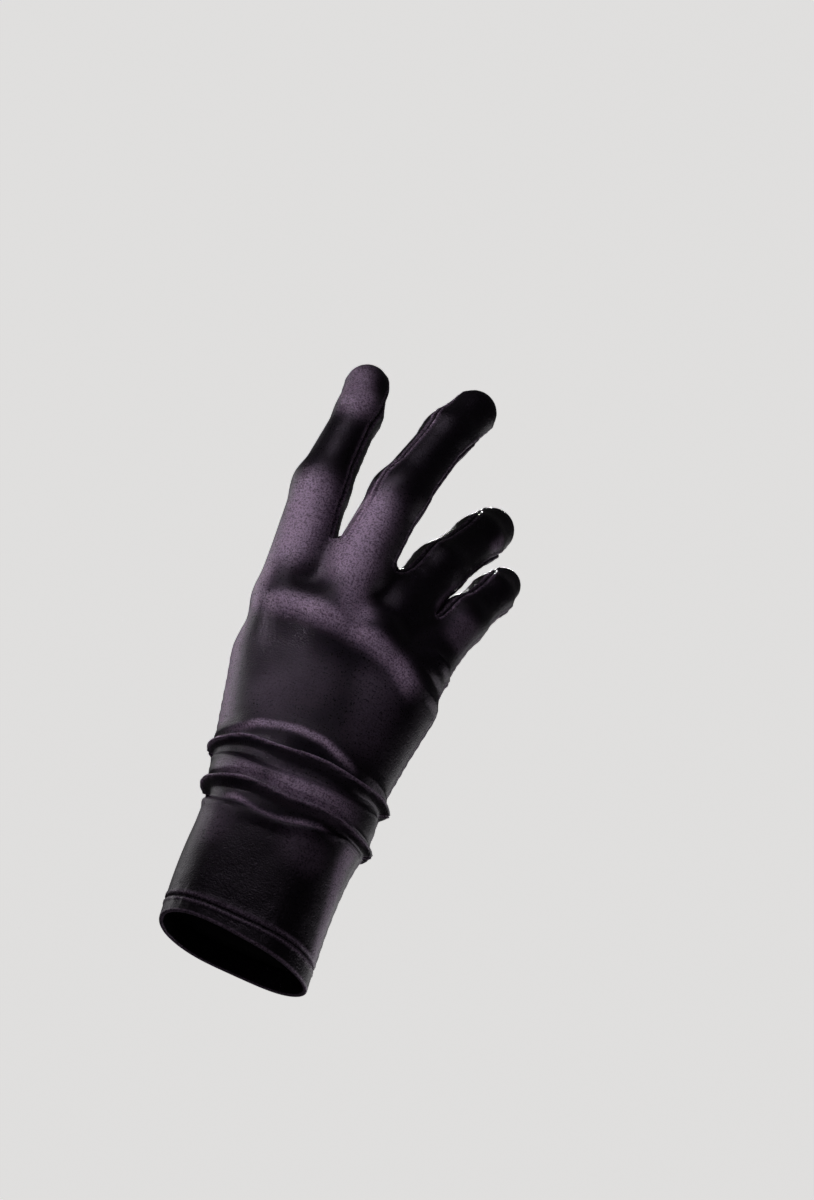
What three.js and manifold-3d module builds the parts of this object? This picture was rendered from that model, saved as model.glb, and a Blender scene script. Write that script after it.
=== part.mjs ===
// Wrist length dress glove for a right hand, in the form it has when worn. Millimetres.
// The origin is the middle of the wrist opening. +Z runs up the forearm into the hand, -Y is the side of
// the back of the hand, -X the side of the thumb and +X the side of the little finger.
import * as THREE from 'three';
import { mergeVertices } from 'three/addons/utils/BufferGeometryUtils.js';
import Module from 'manifold-3d';

const wasm = await Module();
wasm.setup();

// Cloth
const WALL = 1.2;               // satin with its seam allowance
const HEM_WALL = 2;             // the same cloth turned up
const HEM_HEIGHT = 8;
const SEAM_GAP = 0.3;           // between two sewn pieces

// Cuff and hand
const CUFF_WIDTH = 55.5;
const CUFF_DEPTH = 38;
const CUFF_LENGTH = 54;         // wrist opening to wrist joint
const PALM_LENGTH = 72;         // wrist joint to the knuckle of the middle finger
const KNUCKLE_SPAN = 46;        // index knuckle to little knuckle, across
const WRIST_RADIUS = 16;
const HEM_LEAN = 3;             // the opening hangs this much lower on the little finger's side
const CUFF_BOW = 1.5;           // the cuff's middle bows this far to the thumb's side

// Fingers, from the knuckle to the middle of the round tip
const INDEX_LENGTH = 93;
const MIDDLE_LENGTH = 103;
const RING_LENGTH = 90;
const LITTLE_LENGTH = 71;
const THUMB_LENGTH = 57;        // its own knuckle to the tip's middle
const FINGER_RADIUS = 9.8;      // middle finger at its middle joint
const THUMB_RADIUS = 10.5;

// How softly one rounding runs into the next
const PALM_BLEND = 9;
const FINGER_BLEND = 4;

// The thumb is sewn into an oval hole over its own mound
const THUMB_HOLE_LENGTH = 38;
const THUMB_HOLE_WIDTH = 29;

// Knuckles: place as shares of the knuckle span (across, out) and the palm length (up), radius as a share
// of the finger radius, and roll of the finger's back towards the little finger in degrees, on the hand
// and, as fan, round the cuff. The cloth parts from its neighbours at a share of the finger's first bone,
// webIn on the thumb's side and webOut on the little finger's.
const FINGERS = [
  {
    name: 'index', length: INDEX_LENGTH, across: -0.604, out: -0.154, up: 1,
    girth: 1.2, roll: 0, fan: -62, webIn: 0.39, webOut: 0.39,
  },
  {
    name: 'middle', length: MIDDLE_LENGTH, across: -0.242, out: -0.173, up: 0.999,
    girth: 1.2, roll: 26, fan: -21, webIn: 0.347, webOut: 0.366,
  },
  {
    name: 'ring', length: RING_LENGTH, across: 0.102, out: -0.084, up: 0.975,
    girth: 1.15, roll: 35, fan: 21, webIn: 0.51, webOut: 0.36,
  },
  {
    name: 'little', length: LITTLE_LENGTH, across: 0.415, out: 0.087, up: 0.892,
    girth: 1.18, roll: 38, fan: 62, webIn: 0.42, webOut: 0.3,
  },
];

// Bones: share of the finger's length, lean towards the little finger and bend towards the palm in
// degrees, and the radius at the far end as a share of the finger radius.
const BONES = {
  index: [
    { share: 0.486, lean: -5, bend: -4, girth: 1 },
    { share: 0.371, lean: 1.5, bend: 8, girth: 0.8 },
    { share: 0.143, lean: -7, bend: 11, girth: 0.8 },
  ],
  middle: [
    { share: 0.496, lean: 7, bend: -2, girth: 1 },
    { share: 0.335, lean: 10.5, bend: 14.5, girth: 0.87 },
    { share: 0.169, lean: 15.5, bend: 25, girth: 0.84 },
  ],
  ring: [
    { share: 0.487, lean: 12.5, bend: 21, girth: 0.93 },
    { share: 0.34, lean: 13.5, bend: 35.5, girth: 0.86 },
    { share: 0.173, lean: 5.5, bend: 47, girth: 0.84 },
  ],
  little: [
    { share: 0.495, lean: 14, bend: 22, girth: 0.84 },
    { share: 0.313, lean: 14.5, bend: 30.5, girth: 0.72 },
    { share: 0.192, lean: 2.5, bend: 46.5, girth: 0.66 },
  ],
};

// Thumb: the root by the wrist and the knuckle as shares of the knuckle span (across, out) and the palm
// length (up), then its two bones as shares of the thumb's length.
const THUMB_ROOT = { across: -0.26, out: 0.09, up: 0.14, girth: 1.4 };
const THUMB_KNUCKLE = { across: -0.58, out: 0.41, up: 0.62, girth: 1.08 };
const THUMB_BONES = [
  { share: 0.54, lean: 30, bend: 38, girth: 0.98 },
  { share: 0.46, lean: 31, bend: 40, girth: 0.84 },
];
const THUMB_HOLE = { across: -0.4, out: 0.2, up: 0.46 };         // its middle, placed as the root is
const THUMB_HOLE_AIM = { across: -0.32, out: 0.94, up: 0.1 };   // the way it faces
const THUMB_HOLE_TURN = 14;     // its length leans this far to the thumb's side, degrees
const THUMB_CLEAR = 0.3;        // share of the thumb's path where it stands clear of the palm

// Pads of the hand, each between two places given as the thumb's are
const PADS = [
  {
    name: 'edge on the thumb side',
    from: { across: -0.435, out: 0.13, up: 0.22, girth: 1.33 },
    to: { across: -0.65, out: 0.06, up: 0.75, girth: 1.17 },
  },
  {
    name: 'heel on the little side',
    from: { across: 0.2, out: 0.06, up: 0.1, girth: 1.35 },
    to: { across: 0.42, out: 0.15, up: 0.72, girth: 1.2 },
  },
  {
    name: 'palm under the knuckles',
    from: { across: -0.5, out: 0.04, up: 0.86, girth: 1.1 },
    to: { across: 0.36, out: 0.16, up: 0.78, girth: 1.05 },
  },
];
const WEB_GIRTH = 0.72;         // cloth between two fingers, share of the finger radius
const WEB_RISE = 1.25;          // a finger stands free this far past its parting, share of the web's radius
const WEB_REACH = 1.6;          // the web's bottom keeps this near to its middle, share of its radius
const WEB_TILT = 50;            // the web's corners look this far up from square, degrees
const WEB_TILT_START = 0.86;    // share of the way from hem to web where that begins
const ROWS_LEVEL_TO = 0.6;      // share of that way up to which the cloth's rows run level

// Seams, degrees round a finger from its back
const FOURCHETTE_SEAM = 60;     // back piece ends and the strip between the fingers begins
const INDEX_SIDE_SEAM = 112;
const LITTLE_SIDE_SEAM = 65;
const TIP_SEAM = 90;
const TIP_SEAM_START = 0.72;    // share of the finger where the strip begins to narrow

// Folds across the wrist: place as a share of the way from hem to web, half width and height as shares of
// the cuff's depth, and how much of the height is left at the thumb side, the little side and the palm.
const FOLDS = [
  { at: 0.373, halfWidth: 0.085, height: 0.085, thumbSide: 1, littleSide: 0.75, palm: 0.45 },
  { at: 0.483, halfWidth: 0.09, height: 0.09, thumbSide: 0.6, littleSide: 1, palm: 0.45 },
];

const FOLD_SHARPNESS = 1.4;

// Facets
const BODY_ROWS = 13;
const DEGREES_PER_COLUMN = 32;
const FINGER_ROW_STEP = 8;      // about, in millimetres
const FOLD_STEPS = [-1, -0.4, 0, 0.4, 1];   // rows over a fold, in half widths from its crest
const FOLD_CLEAR = 1.3;         // even rows stay this many half widths away from a crest
const FOURCHETTE_STEPS = [0, 0.5, 1];
const CAP_ANGLES = [32, 62, 90];
const THUMB_COLUMNS = 14;
const THUMB_ROWS = 8;
const THUMB_BASE_ROWS = 3;
const CAST_STEPS = 30;
const NORMAL_STEP = 0.05;

const BACK = -1;
const PALM = 1;
const vec = (x, y, z) => new THREE.Vector3(x, y, z);
const { lerp, clamp, smoothstep, degToRad } = THREE.MathUtils;
const middleOf = (a, b) => a.clone().lerp(b, 0.5);

// Skeleton
function handPlace({ across, out, up }) {
  return vec(across * KNUCKLE_SPAN, out * KNUCKLE_SPAN, CUFF_LENGTH + up * PALM_LENGTH);
}

function boneDirection({ lean, bend }) {
  const leanAngle = degToRad(lean);
  const bendAngle = degToRad(bend);
  const flat = Math.cos(bendAngle);
  return vec(Math.sin(leanAngle) * flat, Math.sin(bendAngle), Math.cos(leanAngle) * flat);
}

function jointChain(knuckle, bones, length) {
  const joints = [knuckle];
  for (const bone of bones) {
    const step = boneDirection(bone).multiplyScalar(bone.share * length);
    joints.push(joints.at(-1).clone().add(step));
  }
  return joints;
}

function makeBone(from, to, startRadius, endRadius) {
  const span = to.clone().sub(from);
  return { from, span, spanSquared: span.lengthSq(), startRadius, endRadius };
}

function chainBones(joints, radii) {
  return joints.slice(1).map((joint, i) => makeBone(joints[i], joint, radii[i], radii[i + 1]));
}

const railSpread = (CUFF_WIDTH - CUFF_DEPTH) / 2;
const fingers = FINGERS.map((row, place) => {
  const knuckle = handPlace(row);
  const joints = jointChain(knuckle, BONES[row.name], row.length);
  const radii = [row, ...BONES[row.name]].map(({ girth }) => girth * FINGER_RADIUS);
  const railX = lerp(-railSpread, railSpread, place / (FINGERS.length - 1));
  return {
    ...row,
    place,
    joints,
    radii,
    rail: [vec(railX, 0, 0), vec(railX, 0, CUFF_LENGTH), knuckle, joints[1]],
    bones: chainBones(joints, radii),
  };
});

// Where a finger leaves the palm: side runs from -1 at its thumb side to 1
function partingPoint({ joints, webIn, webOut }, side) {
  return joints[0].clone().lerp(joints[1], lerp(webIn, webOut, (side + 1) / 2));
}

const webHeight = partingPoint(fingers[1], 0).z;

const thumbKnuckle = handPlace(THUMB_KNUCKLE);
const thumbJoints = jointChain(thumbKnuckle, THUMB_BONES, THUMB_LENGTH);
const thumbRadii = [THUMB_KNUCKLE, ...THUMB_BONES].map(({ girth }) => girth * THUMB_RADIUS);
const thumbBones = chainBones(thumbJoints, thumbRadii);

const forearmBones = [-railSpread, railSpread].map((x) => makeBone(
  vec(x, 0, -CUFF_LENGTH), vec(x, 0, CUFF_LENGTH), CUFF_DEPTH / 2, CUFF_DEPTH / 2));
const handBones = fingers.map(({ rail, radii }) => makeBone(rail[1], rail[2], WRIST_RADIUS, radii[0]));
const thumbMound = makeBone(
  handPlace(THUMB_ROOT), thumbKnuckle, THUMB_ROOT.girth * THUMB_RADIUS, thumbRadii[0]);
const padBones = PADS.map(({ from, to }) => makeBone(
  handPlace(from), handPlace(to), from.girth * FINGER_RADIUS, to.girth * FINGER_RADIUS));
const webRadius = WEB_GIRTH * FINGER_RADIUS;
const webBones = fingers.slice(1).map((finger, i) => makeBone(
  partingPoint(fingers[i], 1), partingPoint(finger, -1), webRadius, webRadius));
const palmBones = [...forearmBones, ...handBones, thumbMound, ...padBones, ...webBones];

// The hand's form as a distance: below zero inside, zero on the skin
function boneDistance(p, { from, span, spanSquared, startRadius, endRadius }) {
  const x = p.x - from.x;
  const y = p.y - from.y;
  const z = p.z - from.z;
  const along = clamp((x * span.x + y * span.y + z * span.z) / spanSquared, 0, 1);
  const away = Math.hypot(x - span.x * along, y - span.y * along, z - span.z * along);
  return away - lerp(startRadius, endRadius, along);
}

function softMin(a, b, blend) {
  const near = Math.max(blend - Math.abs(a - b), 0) / blend;
  return Math.min(a, b) - near * near * blend / 4;
}

function bonesDistance(p, bones, blend) {
  return bones.reduce((least, bone) => softMin(least, boneDistance(p, bone), blend), Infinity);
}

function formWith(chains) {
  return (p) => chains.reduce(
    (least, bones) => softMin(least, bonesDistance(p, bones, FINGER_BLEND), FINGER_BLEND),
    bonesDistance(p, palmBones, PALM_BLEND));
}

// One finger on the palm. Neighbours that touch press flat against each other.
function pressedForm({ bones, place }) {
  const form = formWith([bones]);
  const neighbours = [fingers[place - 1], fingers[place + 1]].filter(Boolean);
  return (p) => {
    const own = bonesDistance(p, bones, FINGER_BLEND);
    const gapTo = (other) => own - bonesDistance(p, other.bones, FINGER_BLEND) + SEAM_GAP;
    return Math.max(form(p), ...neighbours.map((other) => gapTo(other) / 2));
  };
}

const wholeHand = formWith(fingers.map(({ bones }) => bones));
const fingerForms = fingers.map(pressedForm);
const palmForm = formWith([]);
const thumbForm = (p) => bonesDistance(p, [thumbMound, ...thumbBones], FINGER_BLEND);
const thumbOnPalm = formWith([thumbBones]);

// A place on the cloth: out from the start along the aim to the form's skin, then lifted by a fold
function skinPoint(form, start, aim, lift = 0) {
  const point = start.clone();
  for (let step = 0; step < CAST_STEPS; step += 1) point.addScaledVector(aim, -form(point));
  const normal = formNormal(form, point);
  return { point: point.addScaledVector(normal, lift), normal };
}

function formNormal(form, point) {
  const slope = (axis) => {
    const ahead = form(point.clone().addScaledVector(axis, NORMAL_STEP));
    return ahead - form(point.clone().addScaledVector(axis, -NORMAL_STEP));
  };
  return vec(slope(vec(1, 0, 0)), slope(vec(0, 1, 0)), slope(vec(0, 0, 1))).normalize();
}

// Cloth pulled straight between two places, pushed out where the hand stands in its way
function stretchedPoint(form, from, to, share) {
  const point = from.point.clone().lerp(to.point, share);
  for (let step = 0; step < CAST_STEPS; step += 1) {
    const depth = Math.min(form(point), 0);
    if (depth < 0) point.addScaledVector(formNormal(form, point), -depth);
  }
  return { point, normal: from.normal.clone().lerp(to.normal, share).normalize() };
}

// Directions round the hand: 0 degrees is the back, 90 the little finger's side, 180 the palm
function roundAim(angle) {
  return vec(Math.sin(degToRad(angle)), -Math.cos(degToRad(angle)), 0);
}

// A finger's own line through the hand. Rows run level up to the palm, then rise or fall to their webs.
function railPoint(finger, at, side) {
  const { rail } = finger;
  const rise = partingPoint(finger, side).z - webHeight;
  const height = at * webHeight + rise * smoothstep(at, ROWS_LEVEL_TO, 1);
  const upper = rail.findIndex((point, i) => i > 0 && (point.z >= height || i === rail.length - 1));
  const low = rail[upper - 1];
  const high = rail[upper];
  return low.clone().lerp(high, (height - low.z) / (high.z - low.z));
}

// Where the middle of a finger's strip looks: fanned round the cuff, square to the finger by the knuckles
function stripAngle({ fan, roll }, side, at) {
  const settle = smoothstep(at, CUFF_LENGTH / webHeight, (CUFF_LENGTH + PALM_LENGTH) / webHeight);
  return side === BACK ? lerp(fan, roll, settle) : lerp(180 - fan, 180 + roll, settle);
}

// Where the two side seams look, the same from the hem to the web
function sideSeamAngle({ place, roll }, side) {
  if (place > 0) return roll + LITTLE_SIDE_SEAM;
  return side === BACK ? roll - INDEX_SIDE_SEAM : roll - INDEX_SIDE_SEAM + 360;
}

// How far the cloth stands off the form: out at a fold, and to the thumb's side where the cuff bows
function clothLift(at, around, side, angle) {
  const rise = at * webHeight / CUFF_LENGTH;
  const bow = rise < 1 ? -CUFF_BOW * Math.sin(Math.PI * rise) * Math.sin(degToRad(angle)) : 0;
  return FOLDS.reduce((lift, fold) => {
    const away = Math.abs(at - fold.at) * webHeight / (fold.halfWidth * CUFF_DEPTH);
    if (away >= 1) return lift;
    const edge = around < 0 ? fold.thumbSide : fold.littleSide;
    const middle = side === BACK ? 1 : fold.palm;
    const height = fold.height * CUFF_DEPTH * lerp(middle, edge, around ** 2);
    return lift + height * (1 - away) ** FOLD_SHARPNESS;
  }, bow);
}

// Columns of one finger's strip on the back or the palm: t runs from -1 at its thumb side to 1
function seamAngles({ place }, side, along = 0) {
  const last = fingers.length - 1;
  const narrow = smoothstep(along, TIP_SEAM_START, 1);
  const fromBack = [
    lerp(place === 0 ? INDEX_SIDE_SEAM : FOURCHETTE_SEAM, TIP_SEAM, narrow),
    lerp(place === last ? LITTLE_SIDE_SEAM : FOURCHETTE_SEAM, TIP_SEAM, narrow),
  ];
  if (side === BACK) return fromBack;
  const inner = lerp(FOURCHETTE_SEAM, TIP_SEAM, narrow);
  return [place === 0 ? 180 - fromBack[0] : inner, place === last ? 180 - fromBack[1] : inner];
}

function stripColumns(finger, side) {
  const [thumbward, outward] = seamAngles(finger, side).map((angle) => Math.ceil(angle / DEGREES_PER_COLUMN));
  const columns = [];
  for (let i = -thumbward; i < 0; i += 1) columns.push(i / thumbward);
  for (let i = 0; i <= outward; i += 1) columns.push(i / outward);
  return columns;
}

// A strip's place on the body of the glove, from the hem at 0 to the web between the fingers at 1
function bodyPoint(finger, side, t, at) {
  const neighbour = fingers[finger.place + Math.sign(t)];
  const toEdge = Math.abs(t);
  const ownAngle = stripAngle(finger, side, at);
  const around = (finger.place + 0.5 + t / 2) / fingers.length * 2 - 1;
  const edge = railPoint(finger, at, Math.sign(t));
  let edgeAngle = sideSeamAngle(finger, side);
  if (t !== 0 && neighbour) {
    edgeAngle = (ownAngle + stripAngle(neighbour, side, at)) / 2;
    edge.lerp(railPoint(neighbour, at, -Math.sign(t)), 0.5);
  }
  const start = railPoint(finger, at, 0).lerp(edge, toEdge);
  const angle = lerp(ownAngle, edgeAngle, toEdge);
  const tilt = degToRad(WEB_TILT * smoothstep(at, WEB_TILT_START, 1) * toEdge);
  const aim = neighbour ? webAim(finger, neighbour, angle, tilt) : roundAim(angle);
  start.z -= HEM_LEAN * Math.sin(degToRad(angle)) * (1 - at);
  return skinPoint(wholeHand, start, aim, clothLift(at, around, side, angle));
}

// A direction tilted up from square towards the way that two neighbouring fingers leave the palm
function webAim(finger, next, angle, tilt) {
  const square = roundAim(angle);
  const [own, other] = [finger, next].map(({ bones }) => bones[0].span.clone().normalize());
  const outward = own.add(other).normalize();
  const flat = square.addScaledVector(outward, -square.dot(outward) * Math.sin(tilt)).normalize();
  return flat.multiplyScalar(Math.cos(tilt)).addScaledVector(outward, Math.sin(tilt)).normalize();
}

// A finger's own frame at a share of the way from the web to the tip
function fingerFrame(finger, along, side) {
  const { joints } = finger;
  const lengths = joints.slice(1).map((joint, i) => joint.distanceTo(joints[i]));
  const pointAt = (distance) => {
    let rest = Math.min(distance, finger.length);
    let i = 0;
    while (i < lengths.length - 1 && rest > lengths[i]) {
      rest -= lengths[i];
      i += 1;
    }
    return joints[i].clone().lerp(joints[i + 1], Math.min(rest / lengths[i], 1));
  };
  const reach = finger.radii[1];
  const first = partingPoint(finger, side).distanceTo(joints[0]) + WEB_RISE * webRadius;
  const distance = lerp(first, finger.length, along);
  const centre = pointAt(distance);
  const axis = pointAt(distance + reach).sub(pointAt(distance - reach)).normalize();
  const rolled = roundAim(finger.roll);
  const back = rolled.addScaledVector(axis, -rolled.dot(axis)).normalize();
  return { centre, axis, back, across: axis.clone().cross(back) };
}

function fingerPoint(finger, side, angle, along, cap = 0) {
  const { centre, axis, back, across } = fingerFrame(finger, along, side);
  const turn = degToRad(angle);
  const aim = back.multiplyScalar(Math.cos(turn)).addScaledVector(across, Math.sin(turn));
  aim.multiplyScalar(Math.cos(degToRad(cap))).addScaledVector(axis, Math.sin(degToRad(cap)));
  return skinPoint(fingerForms[finger.place], centre, aim);
}

function fingerRows(finger) {
  const free = finger.length - partingPoint(finger, 0).distanceTo(finger.joints[0]);
  const count = Math.max(3, Math.round(free / FINGER_ROW_STEP));
  const rows = [];
  for (let i = 0; i <= count; i += 1) rows.push({ along: i / count, cap: 0 });
  for (const cap of CAP_ANGLES) rows.push({ along: 1, cap });
  return rows;
}

// Rows of the body: even ones, with closer ones where a fold crosses
function bodyRows() {
  const first = HEM_HEIGHT / webHeight;
  const shareOf = (fold) => fold.halfWidth * CUFF_DEPTH / webHeight;
  const even = [];
  for (let i = 0; i <= BODY_ROWS; i += 1) even.push(lerp(first, 1, i / BODY_ROWS));
  const clear = (at) => FOLDS.every((fold) => Math.abs(at - fold.at) > FOLD_CLEAR * shareOf(fold));
  const kept = even.filter((at) => at === first || at === 1 || clear(at));
  const folded = FOLDS.flatMap((fold) => FOLD_STEPS.map((step) => fold.at + step * shareOf(fold)));
  return [...kept, ...folded].sort((a, b) => a - b);
}

// Cloth: grids of skin points become one closed wall, drawn in from its border by half the seam gap
function clothSolid(grids, wall = WALL) {
  const skins = [];
  const known = new Map();
  const weld = (skin) => {
    const key = skin.point.toArray().map((value) => Math.round(value * 1000)).join();
    if (!known.has(key)) {
      known.set(key, skins.length);
      skins.push(skin);
    }
    return known.get(key);
  };
  const faces = [];
  for (const grid of grids) {
    const gridFaces = [];
    let facing = 0;
    for (let row = 1; row < grid.length; row += 1) {
      for (let column = 1; column < grid[row].length; column += 1) {
        const [a, b] = [grid[row - 1][column - 1], grid[row - 1][column]].map(weld);
        const [d, c] = [grid[row][column - 1], grid[row][column]].map(weld);
        for (const face of [[a, b, c], [a, c, d]]) {
          if (new Set(face).size < 3) continue;
          gridFaces.push(face);
          facing += faceNormal(face, skins).dot(skins[face[0]].normal);
        }
      }
    }
    faces.push(...gridFaces.map((face) => (facing < 0 ? [face[0], face[2], face[1]] : face)));
  }
  const edges = new Map();
  for (const face of faces) {
    face.forEach((from, i) => edges.set(`${from},${face[(i + 1) % 3]}`, face));
  }
  const sides = [...edges.keys()].map((key) => key.split(',').map(Number));
  const border = sides.filter(([a, b]) => !edges.has(`${b},${a}`));
  const shifts = skins.map(() => []);
  for (const [from, to] of border) {
    const along = skins[to].point.clone().sub(skins[from].point).normalize();
    const inward = faceNormal(edges.get(`${from},${to}`), skins).normalize().cross(along);
    shifts[from].push(inward);
    shifts[to].push(inward);
  }
  const outer = skins.map(({ point }, i) => {
    const [one, two] = shifts[i];
    if (!one) return point;
    const corner = Math.max(1 + one.dot(two), 0.03);
    return point.clone().addScaledVector(one.clone().add(two), SEAM_GAP / 2 / corner);
  });
  const inner = outer.map((point, i) => point.clone().addScaledVector(skins[i].normal, -wall));
  const under = skins.length;
  const triangles = faces.flatMap(([a, b, c]) => [a, b, c, a + under, c + under, b + under]);
  const order = (i) => skins[i].point.z + skins[i].point.x;
  for (const [a, b] of border) {
    if (order(a) > order(b)) triangles.push(b, a, b + under, a, a + under, b + under);
    else triangles.push(b, a, a + under, b, a + under, b + under);
  }
  return solidGeometry([...outer, ...inner], triangles);
}

function faceNormal([a, b, c], skins) {
  const edge = skins[b].point.clone().sub(skins[a].point);
  return edge.cross(skins[c].point.clone().sub(skins[a].point));
}

function solidGeometry(points, triangles) {
  const geometry = new THREE.BufferGeometry();
  geometry.setAttribute('position', new THREE.Float32BufferAttribute(points.flatMap((p) => p.toArray()), 3));
  geometry.setIndex(triangles);
  return geometry;
}

// Cuts one closed geometry out of another
function cutOut(geometry, tool) {
  const [body, cutter] = [geometry, tool].map((source) => {
    const bare = source.clone();
    bare.deleteAttribute('normal');
    bare.deleteAttribute('uv');
    const merged = mergeVertices(bare, 1e-4);
    return new wasm.Manifold(new wasm.Mesh({
      numProp: 3,
      vertProperties: Float32Array.from(merged.attributes.position.array),
      triVerts: Uint32Array.from(merged.index.array),
    }));
  });
  const cut = body.subtract(cutter).getMesh();
  const result = new THREE.BufferGeometry();
  result.setAttribute('position', new THREE.BufferAttribute(cut.vertProperties, 3));
  result.setIndex(new THREE.BufferAttribute(cut.triVerts, 1));
  return result;
}

// Back and palm of the glove, each with its half of the four fingers
function panelGrids(side) {
  const grids = [];
  for (const finger of fingers) {
    const columns = stripColumns(finger, side);
    const body = bodyRows().map((at) => columns.map((t) => bodyPoint(finger, side, t, at)));
    const upper = fingerRows(finger).map(({ along, cap }) => {
      const seams = seamAngles(finger, side, along);
      return columns.map((t) => fingerPoint(finger, t, sideAngle(side, t, seams), along, cap));
    });
    grids.push([...body, ...upper]);
  }
  return grids;
}

function sideAngle(side, t, seams) {
  const angle = t * seams[t < 0 ? 0 : 1];
  return side === BACK ? angle : 180 - angle;
}

// The strip between two fingers: down the side of one, through the web and up the side of the other
function fourchetteGrid(finger, next) {
  const sideRow = (owner, turn) => ({ along }) => {
    const seam = seamAngles({ place: 1 }, BACK, along)[0];
    const angles = FOURCHETTE_STEPS.map((step) => turn * lerp(seam, 180 - seam, step));
    return angles.map((angle) => fingerPoint(owner, turn, angle, along));
  };
  const straight = ({ cap }) => cap === 0;
  const down = fingerRows(finger).filter(straight).map(sideRow(finger, 1)).reverse();
  const up = fingerRows(next).filter(straight).map(sideRow(next, -1));
  const start = middleOf(partingPoint(finger, 1), partingPoint(next, -1));
  const middleRoll = (finger.roll + next.roll) / 2;
  const web = FOURCHETTE_STEPS.map((step) => {
    const tilt = degToRad(lerp(WEB_TILT, 90, 1 - Math.abs(1 - 2 * step)));
    const aim = webAim(finger, next, middleRoll + (step > 0.5 ? 180 : 0), tilt);
    const skin = skinPoint(wholeHand, start, aim);
    const most = WEB_REACH * webRadius;
    if (step === 0 || step === 1 || skin.point.distanceTo(start) < most) return skin;
    return { point: start.clone().addScaledVector(aim, most), normal: aim };
  });
  return [...down, web, ...up];
}

// Hem: one closed ring below the back and palm panels
function hemGrid() {
  const top = bodyRows()[0];
  const ring = (at) => {
    const back = fingers.flatMap((finger) => stripColumns(finger, BACK).slice(0, -1)
      .map((t) => bodyPoint(finger, BACK, t, at)));
    const palm = [...fingers].reverse().flatMap((finger) => stripColumns(finger, PALM).reverse().slice(0, -1)
      .map((t) => bodyPoint(finger, PALM, t, at)));
    return [...back, ...palm, back[0]];
  };
  return [0, top / 2, top].map(ring);
}

// Thumb: from the oval seam on the palm, pulled to where it stands clear, then rings to the round tip
const thumbHoleAim = vec(THUMB_HOLE_AIM.across, THUMB_HOLE_AIM.out, THUMB_HOLE_AIM.up).normalize();
const thumbHoleCentre = handPlace(THUMB_HOLE);
const holeLeft = vec(0, 0, 1).cross(thumbHoleAim).normalize();
const thumbHoleAcross = holeLeft.applyAxisAngle(thumbHoleAim, -degToRad(THUMB_HOLE_TURN));
const thumbHoleUp = thumbHoleAim.clone().cross(thumbHoleAcross);

function ovalOutline(clearance) {
  const half = { across: THUMB_HOLE_WIDTH / 2 + clearance, up: THUMB_HOLE_LENGTH / 2 + clearance };
  const outline = [];
  for (let i = 0; i < THUMB_COLUMNS; i += 1) {
    const turn = 2 * Math.PI * i / THUMB_COLUMNS;
    outline.push(new THREE.Vector2(half.across * Math.cos(turn), half.up * Math.sin(turn)));
  }
  return outline;
}

function thumbGrid() {
  const closed = (ring) => [...ring, ring[0]];
  const base = ovalOutline(0).map(({ x, y }) => {
    const start = thumbHoleCentre.clone().addScaledVector(thumbHoleAcross, x).addScaledVector(thumbHoleUp, y);
    const skin = skinPoint(palmForm, start, thumbHoleAim);
    return { point: skin.point, normal: thumbHoleAim };
  });
  const path = new THREE.CatmullRomCurve3([thumbHoleCentre, ...thumbJoints], false, 'centripetal');
  const ringAt = (share, cap) => {
    const centre = path.getPointAt(share);
    const settle = smoothstep(share, 0, 2 * THUMB_CLEAR);
    const axis = thumbHoleAim.clone().lerp(path.getTangentAt(share), settle).normalize();
    const up = thumbHoleUp.clone().addScaledVector(axis, -thumbHoleUp.dot(axis)).normalize();
    const across = up.clone().cross(axis);
    return base.map((_, i) => {
      const turn = 2 * Math.PI * i / THUMB_COLUMNS;
      const aim = across.clone().multiplyScalar(Math.cos(turn)).addScaledVector(up, Math.sin(turn));
      aim.multiplyScalar(Math.cos(degToRad(cap))).addScaledVector(axis, Math.sin(degToRad(cap)));
      return skinPoint(thumbForm, centre, aim);
    });
  };
  const clear = ringAt(THUMB_CLEAR, 0);
  const rings = [base];
  for (let row = 1; row < THUMB_BASE_ROWS; row += 1) {
    rings.push(base.map((skin, i) => stretchedPoint(thumbOnPalm, skin, clear[i], row / THUMB_BASE_ROWS)));
  }
  for (let row = 0; row <= THUMB_ROWS; row += 1) {
    rings.push(ringAt(lerp(THUMB_CLEAR, 1, row / THUMB_ROWS), 0));
  }
  return [...rings, ...CAP_ANGLES.map((cap) => ringAt(1, cap))].map(closed);
}

function thumbHoleCutter() {
  const outline = new THREE.Shape(ovalOutline(SEAM_GAP));
  const plug = new THREE.ExtrudeGeometry(outline, { depth: CUFF_DEPTH, bevelEnabled: false });
  const turned = new THREE.Matrix4().makeBasis(thumbHoleAcross, thumbHoleUp, thumbHoleAim);
  return plug.applyMatrix4(turned.setPosition(thumbHoleCentre));
}

// Finishes
function satin(color, roughness) {
  return new THREE.MeshStandardMaterial({ color, roughness, metalness: 0 });
}

function piece(name, geometry, material) {
  const mesh = new THREE.Mesh(geometry, material);
  mesh.name = name;
  return mesh;
}

const glove = new THREE.Group();
glove.name = 'wrist_length_dress_glove';
glove.add(piece('back_panel', clothSolid(panelGrids(BACK)), satin(0x2b2130, 0.35)));
const palmPanel = cutOut(clothSolid(panelGrids(PALM)), thumbHoleCutter());
glove.add(piece('palm_panel', palmPanel, satin(0x291f2e, 0.35)));
fingers.slice(1).forEach((next, i) => {
  const finger = fingers[i];
  const name = `fourchette_${finger.name}_${next.name}`;
  glove.add(piece(name, clothSolid([fourchetteGrid(finger, next)]), satin(0x251c2a, 0.38)));
});
glove.add(piece('thumb', clothSolid([thumbGrid()]), satin(0x2b2130, 0.35)));
glove.add(piece('hem_band', clothSolid([hemGrid()], HEM_WALL), satin(0x231a27, 0.42)));

export default glove;
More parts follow.
